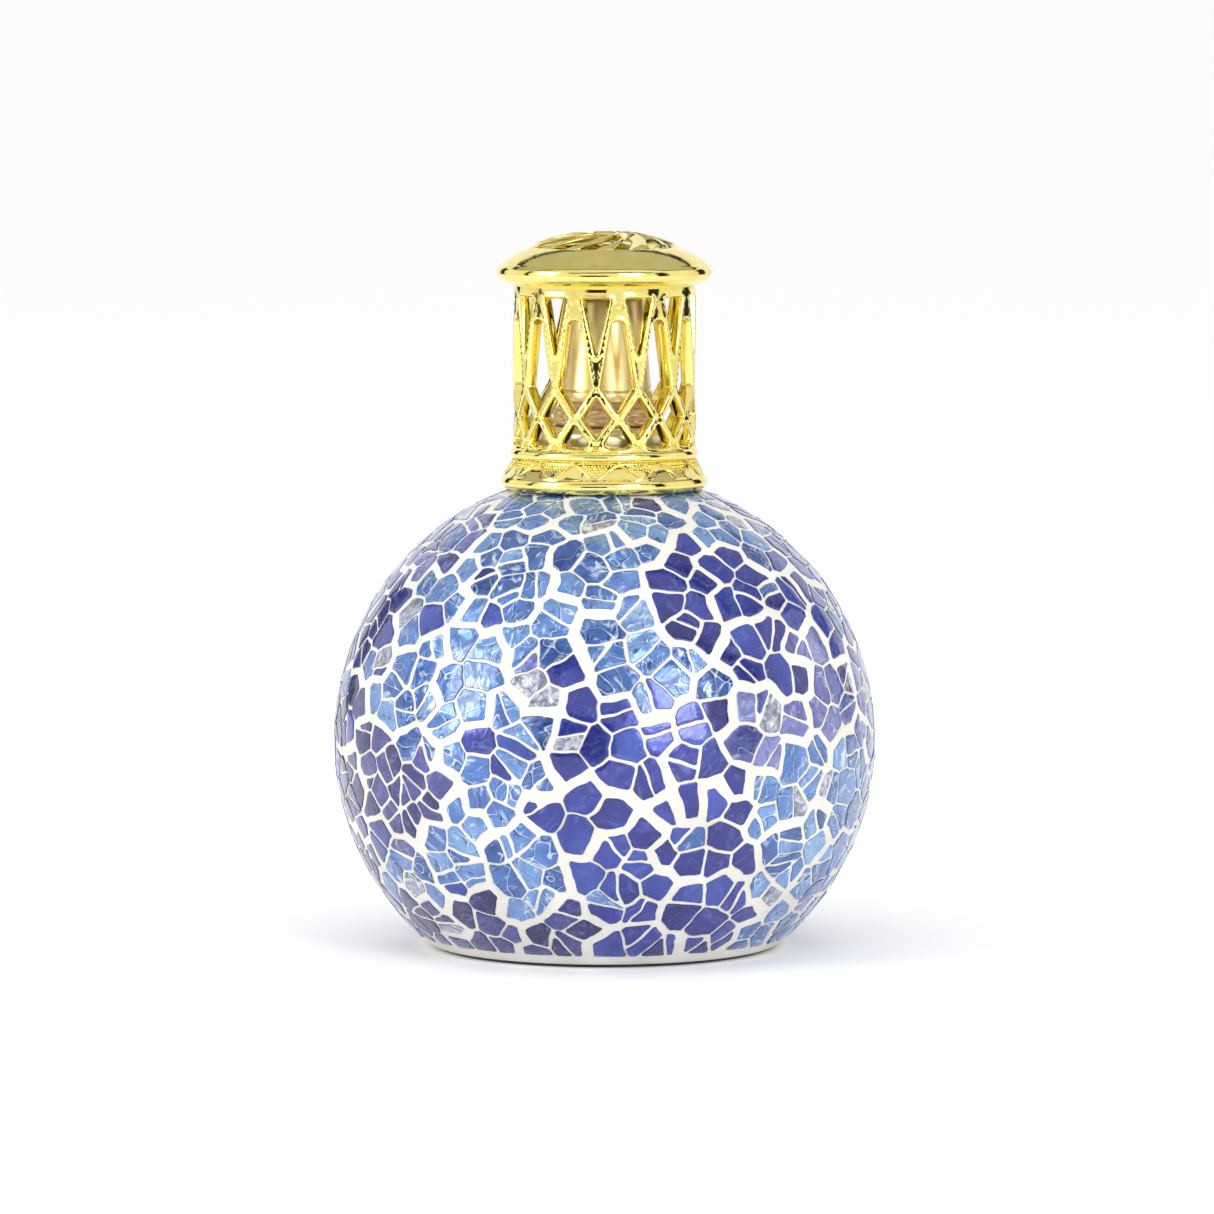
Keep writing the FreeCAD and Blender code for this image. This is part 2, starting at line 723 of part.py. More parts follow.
def slot_edges():
    """Outline of one curved slot. It swings clockwise on its way out from the hub."""

    def at(radius, degrees):
        angle = math.radians(degrees)
        return Vector(radius * math.cos(angle), radius * math.sin(angle), 0)

    hub, edge, sweep = SLOT["hub"], SLOT["edge"], SLOT["sweep"]
    middle = math.sqrt(hub * edge)
    sides = []
    for side in (-0.5, 0.5):
        inner = side * SLOT["hub_width"]
        outer = side * SLOT["edge_width"] - sweep
        sides.append((at(hub, inner), at(middle, (inner + outer) / 2), at(edge, outer)))
    trailing, leading = sides
    return [
        Part.Arc(*trailing),
        Part.LineSegment(trailing[2], leading[2]),
        Part.Arc(*reversed(leading)),
        Part.LineSegment(leading[0], trailing[0]),
    ]


def make_rosette():
    """Domed rosette in the dome's opening, pierced by curved slots that leave turbine-like blades."""
    top_arc = f"sqrt(rosette_curve^2 - hub_radius^2) - sqrt(rosette_curve^2 - dome_mouth^2)"
    under_curve = "(rosette_curve - rosette_wall)"
    under_arc = f"sqrt({under_curve}^2 - hub_radius^2) - sqrt({under_curve}^2 - dome_mouth^2)"
    corners = [
        ("0", f"dome_mouth_height + {under_arc} - rosette_wall"),
        ("hub_radius", f"dome_mouth_height + {under_arc} - rosette_wall", under_curve, -1),
        ("dome_mouth", "dome_mouth_height - rosette_wall"),
        ("dome_mouth", "dome_mouth_height", "rosette_curve", 1),
        ("hub_radius", f"dome_mouth_height + {top_arc}"),
        ("hub_radius", f"dome_mouth_height + {top_arc} + hub_height"),
        ("0", f"dome_mouth_height + {top_arc} + hub_height"),
    ]
    body = turned("crown_rosette", corners)
    over = FreeCAD.Placement(UP * size("dome_mouth_height + 4 * rosette_wall"), FreeCAD.Rotation())
    sketch = edge_sketch(body, "rosette_slot", "XY_Plane", over, [slot_edges()])
    cut_around(body, "rosette", [sketch], "7 * rosette_wall", WINDOWS_AROUND)
    return body


# -------------------------------------------------------------------------------------------- output


def check_and_write(pieces):
    """Stops on any failed object or bad shape, then writes one file for each piece."""
    doc.recompute()
    for item in doc.Objects:
        if "Invalid" in item.State or "Error" in item.State:
            raise RuntimeError(f"{item.Name} failed: {item.State}")
    for piece in pieces:
        if piece.Shape.isNull() or not piece.Shape.isValid():
            raise RuntimeError(f"{piece.Label} has a bad shape")
    os.makedirs("parts", exist_ok=True)
    for piece in pieces:
        piece.Shape.exportStep(f"parts/{piece.Label}.step")
        print(piece.Label, len(piece.Shape.Solids), "solids", round(piece.Shape.Volume / 1000, 3), "cm3")


PIECES = [
    make_pad(),
    make_bottle(),
    make_grout(),
    *make_mosaic(),
    make_collar(),
    make_cement(),
    make_burner_mount(),
    make_stone(),
    make_wick(),
    make_cap(),
    make_cap_seal(),
    make_cage(),
    make_dome(),
    make_rosette(),
]
check_and_write(PIECES)
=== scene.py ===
import json
import math
import random

import bmesh
import bpy
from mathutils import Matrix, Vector, noise
from mathutils.geometry import delaunay_2d_cdt

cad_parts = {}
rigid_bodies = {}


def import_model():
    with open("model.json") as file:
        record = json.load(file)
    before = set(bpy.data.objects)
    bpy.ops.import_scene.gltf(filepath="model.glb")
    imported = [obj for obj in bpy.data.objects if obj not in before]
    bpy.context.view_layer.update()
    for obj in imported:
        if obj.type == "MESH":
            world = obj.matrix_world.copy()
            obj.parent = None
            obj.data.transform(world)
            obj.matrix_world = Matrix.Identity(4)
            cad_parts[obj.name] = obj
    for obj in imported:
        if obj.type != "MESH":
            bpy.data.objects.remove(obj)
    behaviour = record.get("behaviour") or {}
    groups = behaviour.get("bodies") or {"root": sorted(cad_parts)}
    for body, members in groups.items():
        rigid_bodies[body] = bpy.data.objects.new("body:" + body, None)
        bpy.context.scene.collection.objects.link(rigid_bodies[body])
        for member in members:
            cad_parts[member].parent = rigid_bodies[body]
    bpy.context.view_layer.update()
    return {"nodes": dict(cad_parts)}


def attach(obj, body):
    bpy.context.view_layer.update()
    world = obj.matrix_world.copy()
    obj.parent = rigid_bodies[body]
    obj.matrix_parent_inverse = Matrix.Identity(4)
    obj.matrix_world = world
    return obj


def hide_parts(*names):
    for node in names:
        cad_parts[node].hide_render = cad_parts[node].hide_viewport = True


"""The looks of a catalytic fragrance lamp. Shapes are drawn in millimetres and made in metres, in the
CAD model's frame: +Z is up and the front faces -Y."""

for leftover in list(bpy.data.objects):
    bpy.data.objects.remove(leftover)

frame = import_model()
MM = 0.001
FULL_TURN = 2 * math.pi


# ------------------------------------------------------------------------------------ node materials


class Graph:
    """A material and short ways to add nodes to it. Textures are laid out in millimetres."""

    def __init__(self, name):
        self.material = bpy.data.materials.new(name)
        self.material.use_nodes = True
        self.tree = self.material.node_tree
        self.shader = self.tree.nodes["Principled BSDF"]
        self.place = self.add("TexCoord").outputs["Object"]

    def add(self, kind, settings=None, inputs=None):
        node = self.tree.nodes.new("ShaderNode" + kind)
        for key, value in (settings or {}).items():
            setattr(node, key, value)
        for key, value in (inputs or {}).items():
            self.feed(node.inputs[key], value)
        return node

    def feed(self, socket, value):
        if isinstance(value, bpy.types.NodeSocket):
            self.tree.links.new(value, socket)
        elif isinstance(value, tuple) and socket.type == "RGBA":
            socket.default_value = (*value[:3], 1.0)
        else:
            socket.default_value = value

    def scaled(self, size, turn=None):
        """Object coordinates divided by a size in millimetres along each axis, and turned first if asked."""
        stretch = tuple(1 / (MM * s) for s in (size if isinstance(size, tuple) else (size,) * 3))
        place = self.place
        if turn is not None:
            place = self.add(
                "VectorRotate", {"rotation_type": "AXIS_ANGLE"}, {"Vector": place, "Axis": (0.3, 0.5, 0.8), "Angle": turn}
            ).outputs["Vector"]
        return self.add("Mapping", {"vector_type": "POINT"}, {"Vector": place, "Scale": stretch}).outputs["Vector"]

    def noise(self, size, detail=2.0, roughness=0.5, distortion=0.0, turn=None):
        inputs = {"Vector": self.scaled(size, turn), "Scale": 1.0, "Detail": detail, "Roughness": roughness}
        inputs["Distortion"] = distortion
        return self.add("TexNoise", {}, inputs).outputs["Fac"]

    def cells(self, size, feature="F1"):
        inputs = {"Vector": self.scaled(size), "Scale": 1.0}
        return self.add("TexVoronoi", {"feature": feature}, inputs).outputs["Distance"]

    def attribute(self, name):
        return self.add("Attribute", {"attribute_name": name, "attribute_type": "GEOMETRY"}).outputs["Fac"]

    def maths(self, operation, first, second=0.0, third=None):
        node = self.add("Math", {"operation": operation})
        self.feed(node.inputs[0], first)
        self.feed(node.inputs[1], second)
        if third is not None:
            self.feed(node.inputs[2], third)
        return node.outputs[0]

    def between(self, value, low, high, out_low=0.0, out_high=1.0):
        inputs = {"Value": value, "From Min": low, "From Max": high, "To Min": out_low, "To Max": out_high}
        return self.add("MapRange", {"clamp": True}, inputs).outputs["Result"]

    def ramp(self, value, stops):
        node = self.add("ValToRGB", {}, {"Fac": value})
        elements = node.color_ramp.elements
        while len(elements) < len(stops):
            elements.new(0.5)
        for element, (position, colour) in zip(elements, stops):
            element.position = position
            element.color = (*colour, 1.0)
        return node.outputs["Color"]

    def mix(self, share, first, second, blend="MIX"):
        node = self.add("Mix", {"data_type": "RGBA", "blend_type": blend})
        self.feed(node.inputs["Factor"], share)
        self.feed(node.inputs[6], first)
        self.feed(node.inputs[7], second)
        return node.outputs[2]

    def bump(self, height, depth, below=None, strength=1.0):
        """A bump whose height of 1 stands depth millimetres proud."""
        inputs = {"Height": height, "Distance": depth * MM, "Strength": strength}
        if below is not None:
            inputs["Normal"] = below
        return self.add("Bump", {}, inputs).outputs["Normal"]

    def finish(self, **inputs):
        for key, value in inputs.items():
            self.feed(self.shader.inputs[key.replace("_", " ")], value)
        return self.material


def linear(red, green, blue):
    """A colour given as 0 to 255 on screen, as the linear numbers that the shader takes."""
    return tuple(
        c / 12.92 if c <= 0.04045 else ((c + 0.055) / 1.055) ** 2.4 for c in (red / 255, green / 255, blue / 255)
    )


def glass_tile(name, dark, middle, light, painted_highlight, painted_light_amount, ripple):
    """Foil-backed glass: colour that drifts over each fragment, painted highlights and painted shade in streaky bands
    and creases inside it, painted shade along its edge and a gloss.
    """
    g = Graph(name)
    tone = g.attribute("tone")
    edge_shade = g.attribute("edge_shade")
    turn = g.maths("MULTIPLY", tone, 37.0)
    drift = g.noise(4.5, 2.0, 0.5)
    shade = g.maths("ADD", g.maths("MULTIPLY", tone, 0.55), g.maths("MULTIPLY", drift, 0.75))
    body = g.ramp(g.between(shade, 0.25, 1.05), [(0.0, dark), (0.5, middle), (1.0, light)])
    rake = g.noise((1.1, 4.8, 2.2), 2.0, 0.45, 0.9, turn)
    # Painted highlight and painted shade: pale and dark streaky bands, then a bright line and a dark line along each
    # crease.
    highlight_streak = g.between(rake, 0.57, 0.76, 0.0, 0.8 * painted_light_amount)
    streak_shade = g.between(g.noise((1.0, 3.6, 1.8), 1.0, 0.5, 1.2, turn), 0.36, 0.27, 0.0, 0.7 * painted_light_amount)
    fold = g.noise((3.4, 5.0, 2.8), 0.0, 0.4, 0.5, turn)
    crease_highlight = g.between(g.maths("ABSOLUTE", g.maths("SUBTRACT", fold, 0.50)), 0.001, 0.010, 0.9 * painted_light_amount, 0.0)
    crease_shade = g.between(g.maths("ABSOLUTE", g.maths("SUBTRACT", fold, 0.53)), 0.002, 0.018, 0.8 * painted_light_amount, 0.0)
    # The painted highlight and painted shade are laid into the base colour here.
    body = g.mix(highlight_streak, body, painted_highlight)
    body = g.mix(streak_shade, body, tuple(0.35 * c for c in dark))
    body = g.mix(crease_shade, body, tuple(0.45 * c for c in dark))
    body = g.mix(crease_highlight, body, painted_highlight)
    # Painted shade, darkest along each fragment's edge.
    body = g.mix(g.between(edge_shade, 0.1, 1.0, 0.0, 0.30), body, tuple(0.30 * c for c in dark))
    waves = g.bump(g.noise((1.8, 3.6, 2.6), 1.0, 0.5, 0.8, turn), ripple)
    crackle = g.bump(fold, ripple * 5.0, g.bump(rake, ripple * 1.2, waves))
    rough = g.between(g.noise(0.9, 2.0), 0.3, 0.7, 0.16, 0.34)
    return g.finish(
        Base_Color=body, Roughness=rough, Metallic=0.45, Normal=crackle, Coat_Weight=0.8, Coat_Roughness=0.06, IOR=1.5
    )


def clear_tile(name):
    """Fragments that lost their colour: silvery grey, crazed all through, with painted shade along each edge."""
    g = Graph(name)
    edge_shade = g.attribute("edge_shade")
    turn = g.maths("MULTIPLY", g.attribute("tone"), 41.0)
    grey = g.ramp(
        g.noise((1.3, 2.6, 1.7), 3.0, 0.55, 1.4, turn),
        [(0.30, linear(88, 90, 104)), (0.5, linear(150, 156, 178)), (0.68, linear(226, 228, 224))],
    )
    # Painted shade, darkest along each fragment's edge.
    grey = g.mix(g.between(edge_shade, 0.3, 1.0, 0.0, 0.55), grey, linear(70, 70, 82))
    facets = g.bump(g.cells((0.8, 1.1, 0.9)), 0.12)
    return g.finish(Base_Color=grey, Roughness=0.22, Metallic=0.35, Normal=facets, Coat_Weight=0.7, Coat_Roughness=0.05)


def grout_material():
    """Ivory cement, rubbed level by hand: fine sand, soft trowel waves, a few specks of stray dirt."""
    g = Graph("grout_cement")
    stain = g.ramp(g.noise(9.0, 3.0), [(0.3, linear(212, 210, 201)), (0.65, linear(226, 225, 219))])
    sand = g.noise(0.22, 3.0, 0.6)
    tint = g.mix(g.between(sand, 0.35, 0.6, 0.16, 0.0), stain, linear(186, 182, 168))
    speck = g.between(g.cells(2.6), 0.075, 0.04, 0.0, 0.6)
    speck = g.maths("MULTIPLY", speck, g.between(g.noise(3.1), 0.5, 0.6))
    tint = g.mix(speck, tint, linear(120, 112, 98))
    swell = g.bump(g.noise(1.6, 2.0), 0.06)
    return g.finish(
        Base_Color=tint, Roughness=0.82, Specular_IOR_Level=0.3, Normal=g.bump(sand, 0.03, swell, 0.8)
    )


def gold_material(name, shade, deep, worn, roughness, casting):
    """Bright plated metal: deeper colour in patches, a slightly wavy cast skin and fine paler streaks drawn long up and
    down.
    """
    g = Graph(name)
    patch = g.noise(3.4, 3.0, 0.55)
    tint = g.mix(g.between(patch, 0.38, 0.66), shade, deep)
    # Fine paler streaks, drawn long up and down.
    mark = g.between(g.noise((0.25, 0.25, 2.2), 3.0, 0.6, 0.4), 0.60, 0.72, 0.0, 0.5)
    tint = g.mix(mark, tint, worn)
    wave = g.bump(g.noise(1.7, 2.0, 0.5), casting)
    grain = g.bump(g.noise(0.16, 3.0, 0.65), casting * 0.12, wave)
    smear = g.between(g.noise(2.2, 3.0, 0.6), 0.35, 0.7, roughness[0], roughness[1])
    return g.finish(Base_Color=tint, Metallic=1.0, Roughness=smear, Normal=grain)


def felt_material():
    g = Graph("felt_pad")
    lint = g.noise((0.12, 0.12, 0.4), 4.0, 0.7, 1.0)
    tint = g.ramp(lint, [(0.3, linear(40, 44, 72)), (0.55, linear(66, 70, 100)), (0.8, linear(104, 108, 134))])
    return g.finish(
        Base_Color=tint, Roughness=0.95, Normal=g.bump(lint, 0.12), Sheen_Weight=0.5, Sheen_Roughness=0.5,
        Specular_IOR_Level=0.15,
    )


def bottle_material():
    """The bottle under the mosaic, seen only where the neck stands out: clear glass with seeds and swirls."""
    g = Graph("bottle_glass")
    swirl = g.noise((6.0, 6.0, 1.4), 2.0, 0.5, 1.2)
    tint = g.ramp(swirl, [(0.35, (0.80, 0.88, 0.86)), (0.65, (0.95, 0.98, 0.97))])
    seed = g.between(g.cells(1.9), 0.10, 0.05)
    wavy = g.bump(seed, 0.05, g.bump(swirl, 0.15))
    rough = g.between(swirl, 0.3, 0.7, 0.02, 0.08)
    return g.finish(Base_Color=tint, Roughness=rough, IOR=1.5, Transmission_Weight=0.9, Normal=wavy)


def cement_material():
    g = Graph("collar_cement")
    grit = g.noise(0.35, 4.0, 0.7)
    tint = g.ramp(grit, [(0.3, linear(150, 140, 120)), (0.7, linear(204, 196, 178))])
    return g.finish(Base_Color=tint, Roughness=0.9, Normal=g.bump(grit, 0.08))


def stone_material():
    """Fired porous ceramic with a grey catalyst stain round its crown."""
    g = Graph("stone_ceramic")
    height = g.add("SeparateXYZ", {}, {"Vector": g.scaled(1.0)}).outputs["Z"]
    stain = g.maths("ADD", g.between(height, 90.5, 94.0), g.maths("MULTIPLY", g.noise(2.0), 0.35))
    tint = g.ramp(stain, [(0.15, linear(222, 212, 194)), (0.75, linear(176, 166, 150)), (1.0, linear(118, 112, 106))])
    pores = g.between(g.cells(0.42), 0.22, 0.12)
    # Painted shade in the pores, which the bump below sinks into the surface.
    tint = g.mix(g.maths("MULTIPLY", pores, 0.5), tint, linear(96, 88, 78))
    skin = g.bump(pores, -0.06, g.bump(g.noise(0.3, 4.0, 0.7), 0.05))
    return g.finish(Base_Color=tint, Roughness=0.93, Normal=skin, Specular_IOR_Level=0.25)


def cotton_material():
    """A braided wick: strands that cross round it, with lint between."""
    g = Graph("cotton_braid")
    parts = g.add("SeparateXYZ", {}, {"Vector": g.scaled(1.0)}).outputs
    angle = g.maths("ARCTAN2", parts["Y"], parts["X"])
    strands = []
    for side in (1.0, -1.0):
        lead = g.maths("ADD", g.maths("MULTIPLY", angle, 6.0), g.maths("MULTIPLY", parts["Z"], side * 2.2))
        strands.append(g.maths("SINE", lead))
    weave = g.maths("MAXIMUM", strands[0], strands[1])
    lint = g.noise((0.15, 0.15, 0.5), 3.0, 0.7)
    # Painted shade between the strands: the colour darkens where the braid's bump sinks.
    tint = g.ramp(g.between(weave, -0.6, 1.0), [(0.0, linear(142, 130, 104)), (0.6, linear(206, 197, 174))])
    tint = g.mix(g.between(lint, 0.4, 0.7, 0.0, 0.3), tint, linear(222, 215, 196))
    relief = g.bump(lint, 0.06, g.bump(g.between(weave, -1.0, 1.0), 0.3))
    return g.finish(Base_Color=tint, Roughness=0.95, Normal=relief, Sheen_Weight=0.4, Specular_IOR_Level=0.15)


def seal_material():
    g = Graph("seal_rubber")
    bloom = g.noise(1.2, 3.0, 0.6)
    tint = g.ramp(bloom, [(0.35, linear(168, 128, 84)), (0.7, linear(196, 160, 112))])
    rough = g.between(bloom, 0.3, 0.7, 0.5, 0.75)
    return g.finish(Base_Color=tint, Roughness=rough, Normal=g.bump(g.noise(0.3, 3.0), 0.02))


GOLD = gold_material("crown_gold", (0.90, 0.78, 0.27), (0.84, 0.69, 0.19), (0.98, 0.91, 0.56), (0.04, 0.13), 0.03)
COLLAR = gold_material("collar_satin", (0.93, 0.86, 0.62), (0.88, 0.80, 0.55), (1.0, 0.96, 0.82), (0.30, 0.42), 0.004)
BURNER = gold_material("burner_brass", (0.82, 0.64, 0.40), (0.72, 0.52, 0.28), (0.96, 0.84, 0.62), (0.26, 0.36), 0.003)
CAP = gold_material("cap_satin", (0.79, 0.66, 0.32), (0.75, 0.61, 0.28), (0.92, 0.82, 0.52), (0.28, 0.38), 0.003)
GROUT = grout_material()
# Each glass as (dark, middle, light, painted highlight) colours on screen, how strong its painted highlight and shade
# are, and its ripple in mm.
GLASSES = {
    "light_blue": ((38, 66, 132), (74, 114, 180), (130, 168, 214), (222, 236, 248), 0.9, 0.15),
    "royal_blue": ((28, 32, 100), (42, 50, 138), (62, 84, 170), (130, 152, 216), 0.30, 0.05),
    "violet": ((58, 62, 126), (92, 100, 166), (142, 148, 202), (222, 224, 242), 0.55, 0.11),
    "navy": ((26, 26, 76), (44, 44, 112), (80, 82, 150), (150, 154, 204), 0.4, 0.08),
}
TILES = {
    key: glass_tile("tile_" + key, *(linear(*shade) for shade in glass[:4]), *glass[4:])
    for key, glass in GLASSES.items()
}
TILES["clear"] = clear_tile("tile_clear")

# --------------------------------------------------------------------------------------- mesh helpers


def piece(name, points, faces, material, body, node=None, attributes=None):
    """A smooth mesh from points in millimetres that rides on a body and stands for a CAD node."""
    mesh = bpy.data.meshes.new(name)
    mesh.from_pydata([(x * MM, y * MM, z * MM) for x, y, z in points], [], faces)
    mesh.update()
    for key, values in (attributes or {}).items():
        mesh.attributes.new(key, "FLOAT", "POINT").data.foreach_set("value", values)
    mesh.polygons.foreach_set("use_smooth", [True] * len(mesh.polygons))
    mesh.materials.append(material)
    made = bpy.data.objects.new(name, mesh)
    bpy.context.scene.collection.objects.link(made)
    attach(made, body)
    if node:
        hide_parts(*([node] if isinstance(node, str) else node))
    return made


def tidy_faces(made):
    """Merges points that coincide and turns every face outward."""
    work = bmesh.new()
    work.from_mesh(made.data)
    bmesh.ops.remove_doubles(work, verts=work.verts, dist=1e-7)
    bmesh.ops.recalc_face_normals(work, faces=work.faces)
    work.to_mesh(made.data)
    work.free()


def weigh_normals(made):
    made.modifiers.new("weighted_normals", "WEIGHTED_NORMAL").keep_sharp = True


def rounded(corners, steps=4):
    """Points of a closed outline of (x, y) or (x, y, fillet radius) corners."""
    points = []
    count = len(corners)
    for index, corner in enumerate(corners):
        here = Vector(corner[:2])
        radius = corner[2] if len(corner) > 2 else 0.0
        if radius <= 0:
            points.append(tuple(here))
            continue
        back = Vector(corners[index - 1][:2]) - here
        ahead = Vector(corners[(index + 1) % count][:2]) - here
        half = max(back.angle(ahead) / 2, 0.05)
        reach = min(radius / math.tan(half), 0.48 * back.length, 0.48 * ahead.length)
        radius = reach * math.tan(half)
        back, ahead = back.normalized(), ahead.normalized()
        centre = here + (back + ahead).normalized() * (radius / math.sin(half))
        first = here + back * reach - centre
        sweep = first.angle_signed(here + ahead * reach - centre)
        for step in range(steps + 1):
            angle = -sweep * step / steps
            turned = Vector(
                (
                    first.x * math.cos(angle) - first.y * math.sin(angle),
                    first.x * math.sin(angle) + first.y * math.cos(angle),
                )
            )
            points.append(tuple(centre + turned))
    return points


def arc(start, end, radius, steps=12):
    """Points from start to end, the start but not the end, along the short arc that turns left."""
    a, b = Vector(start), Vector(end)
    along = b - a
    reach = math.sqrt(max(radius ** 2 - along.length ** 2 / 4, 0))
    left = Vector((-along.y, along.x)).normalized()
    centre = (a + b) / 2 + left * math.copysign(reach, radius)
    first = math.atan2(a.y - centre.y, a.x - centre.x)
    last = math.atan2(b.y - centre.y, b.x - centre.x)
    sweep = (last - first + math.pi) % FULL_TURN - math.pi
    return [
        (centre.x + abs(radius) * math.cos(first + sweep * s / steps),
         centre.y + abs(radius) * math.sin(first + sweep * s / steps))
        for s in range(steps)
    ]


def split_long(points, longest):
    """Adds points along the edges of a closed outline."""
    out = []
    for a, b in zip(points, points[1:] + points[:1]):
        count = max(1, math.ceil(math.dist(a, b) / longest))
        out += [(a[0] + (b[0] - a[0]) * k / count, a[1] + (b[1] - a[1]) * k / count) for k in range(count)]
    return out


def lathe(name, outline, material, body, node=None, segments=192, shift=None):
    """A closed outline of (distance from the axis, height) turned about the axis. shift moves a point."""
    points, rows = [], []
    for radius, height in outline:
        if radius < 1e-6:
            rows.append([len(points)] * segments)
            points.append((0.0, 0.0, height))
            continue
        row = []
        for k in range(segments):
            angle = FULL_TURN * k / segments
            r, z = shift(radius, height, angle) if shift else (radius, height)
            row.append(len(points))
            points.append((r * math.cos(angle), r * math.sin(angle), z))
        rows.append(row)
    faces = []
    for first, second in zip(rows, rows[1:] + rows[:1]):
        for k in range(segments):
            loop = [first[k], first[(k + 1) % segments], second[(k + 1) % segments], second[k]]
            loop = list(dict.fromkeys(loop))
            if len(loop) > 2:
                faces.append(loop)
    made = piece(name, points, faces, material, body, node)
    tidy_faces(made)
    weigh_normals(made)
    return made


# ------------------------------------------------------------------------------------------- mosaic

GLOBE_HEIGHT = 34.5
GLOBE_SHIFT = 0.6
GROUT_ARC = 44.2
GLASS_ARC = 42.2
PAD_THICKNESS = 0.6
GROUT_MOUTH = 12.2


def top_loop(island):
    """The face of a fragment that looks most outward, as its corners in order."""
    best = None
    for face in island:
        centre = face.calc_center_median()
        outward = (centre - Vector((0, 0, GLOBE_HEIGHT * MM))).normalized()
        score = face.normal.dot(outward) * 10 + (centre - Vector((0, 0, GLOBE_HEIGHT * MM))).length
        if best is None or score > best[0]:
            best = (score, face)
    return [v.co / MM for v in best[1].verts], best[1].normal.copy()


def islands(work):
    seen = set()
    for start in work.faces:
        if start.index in seen:
            continue
        found, queue = [], [start]
        seen.add(start.index)
        while queue:
            face = queue.pop()
            found.append(face)
            for edge in face.edges:
                for other in edge.link_faces:
                    if other.index not in seen:
                        seen.add(other.index)
                        queue.append(other)
        yield found


def warped(spot, normal):
    """Bends the pattern of joints: a point moves along the surface by a smooth field shared by its neighbours."""
    push = 0.75 * noise.noise_vector(spot / 5.2) + 0.26 * noise.noise_vector(spot / 2.1)
    push -= normal * push.dot(normal)
    return spot + push * max(0.0, min(1.0, (spot.z - 2.0) / 3.0))


def chipped(corners, normal, draw):
    """A fragment's outline with its corners worn round and its edges bent and slightly uneven."""
    centre = sum(corners, Vector()) / len(corners)
    across = (corners[0] - centre).normalized()
    along = normal.cross(across)
    flat = [((p - centre).dot(across), (p - centre).dot(along)) for p in corners]
    nipped = rounded([(x, y, draw.uniform(0.12, 0.55)) for x, y in flat], 2)
    uneven = []
    for x, y in split_long(nipped, 0.6):
        moved = warped(centre + across * x + along * y, normal) - centre
        x, y = moved.dot(across), moved.dot(along)
        reach = math.hypot(x, y) or 1.0
        push = draw.uniform(-0.04, 0.015)
        uneven.append((x * (1 + push / reach), y * (1 + push / reach)))
    middle = Vector((sum(x for x, _ in uneven), sum(y for _, y in uneven))) / len(uneven)
    uneven = [(x - middle.x, y - middle.y) for x, y in uneven]
    centre = centre + across * middle.x + along * middle.y
    return uneven, centre, across, along


def inset(outline, depth):
    """The outline moved inward by a depth, no more than a share of its own size."""
    out = []
    for index, here in enumerate(outline):
        before, after = Vector(outline[index - 1]), Vector(outline[(index + 1) % len(outline)])
        edge = (after - before).normalized()
        inward = Vector((-edge.y, edge.x))
        if inward.dot(Vector(here)) > 0:
            inward = -inward
        reach = Vector(here).length
        step = inward * min(depth, 0.45 * reach)
        out.append((here[0] + step.x, here[1] + step.y))
    return out


# How each fragment's surface falls from its middle to its edge: (inset, share of the way in, drop, painted edge shade).
TILE_RINGS = ((0.0, 0.42, 0.9), (0.0, 0.06, 0.9), (0.06, 0.01, 0.7), (0.15, 0.0, 0.1))


def fragments(colour):
    """Every fragment of one colour, made again with a chipped outline, a worn edge and a wavy face."""
    node = "tiles_" + colour
    draw = random.Random(node)
    work = bmesh.new()
    work.from_mesh(frame["nodes"][node].data)
    bmesh.ops.remove_doubles(work, verts=work.verts, dist=1e-7)
    bmesh.ops.dissolve_limit(work, angle_limit=math.radians(1.5), verts=work.verts, edges=work.edges)
    work.faces.index_update()
    work.faces.ensure_lookup_table()
    points, faces, tone, edge_shade = [], [], [], []
    for island in islands(work):
        corners, normal = top_loop(island)
        outline, centre, across, along = chipped(corners, normal, draw)
        shade = draw.random()
        lean = Vector((draw.gauss(0, 0.008), draw.gauss(0, 0.008)))
        swell = draw.uniform(0.05, 0.11)
        widest = max(math.hypot(*p) for p in outline)
        levels = []

        # edge sets how much painted shade darkens a point, most at the fragment's edge.
        def add(flat, drop, edge):
            share = min(1.0, math.hypot(*flat) / widest)
            wave = 0.03 * noise.noise(Vector((flat[0] * 0.7 + centre.x, flat[1] * 0.7 + centre.y, centre.z)))
            height = lean.dot(Vector(flat)) + swell * (1 - share ** 2) - drop + wave
            spot = centre + across * flat[0] + along * flat[1] + normal * height
            points.append(tuple(spot))
            tone.append(shade)
            edge_shade.append(edge)
            return len(points) - 1

        for depth, drop, edge in TILE_RINGS:
            ring = inset(outline, depth) if depth else outline
            levels.append([add(p, drop, edge) for p in ring])
        half = [(0.55 * x, 0.55 * y) for x, y in inset(outline, 0.2)]
        levels.append([add(p, 0.0, 0.0) for p in half])
        middle = add((0.0, 0.0), 0.0, 0.0)
        count = len(outline)
        for low, high in zip(levels, levels[1:]):
            for k in range(count):
                faces.append((low[k], low[(k + 1) % count], high[(k + 1) % count], high[k]))
        for k in range(count):
            faces.append((levels[-1][k], levels[-1][(k + 1) % count], middle))
    work.free()
    made = piece(
        "mosaic_" + colour, points, faces, TILES[colour], "lamp", node, {"tone": tone, "edge_shade": edge_shade}
    )
    fix = bmesh.new()
    fix.from_mesh(made.data)
    for face in fix.faces:
        face.normal_update()
        if face.normal.dot(face.calc_center_median() - Vector((0, 0, GLOBE_HEIGHT * MM))) < -1e-6:
            face.normal_flip()
    fix.to_mesh(made.data)
    fix.free()
    return made


for colour_name in TILES:
    fragments(colour_name)


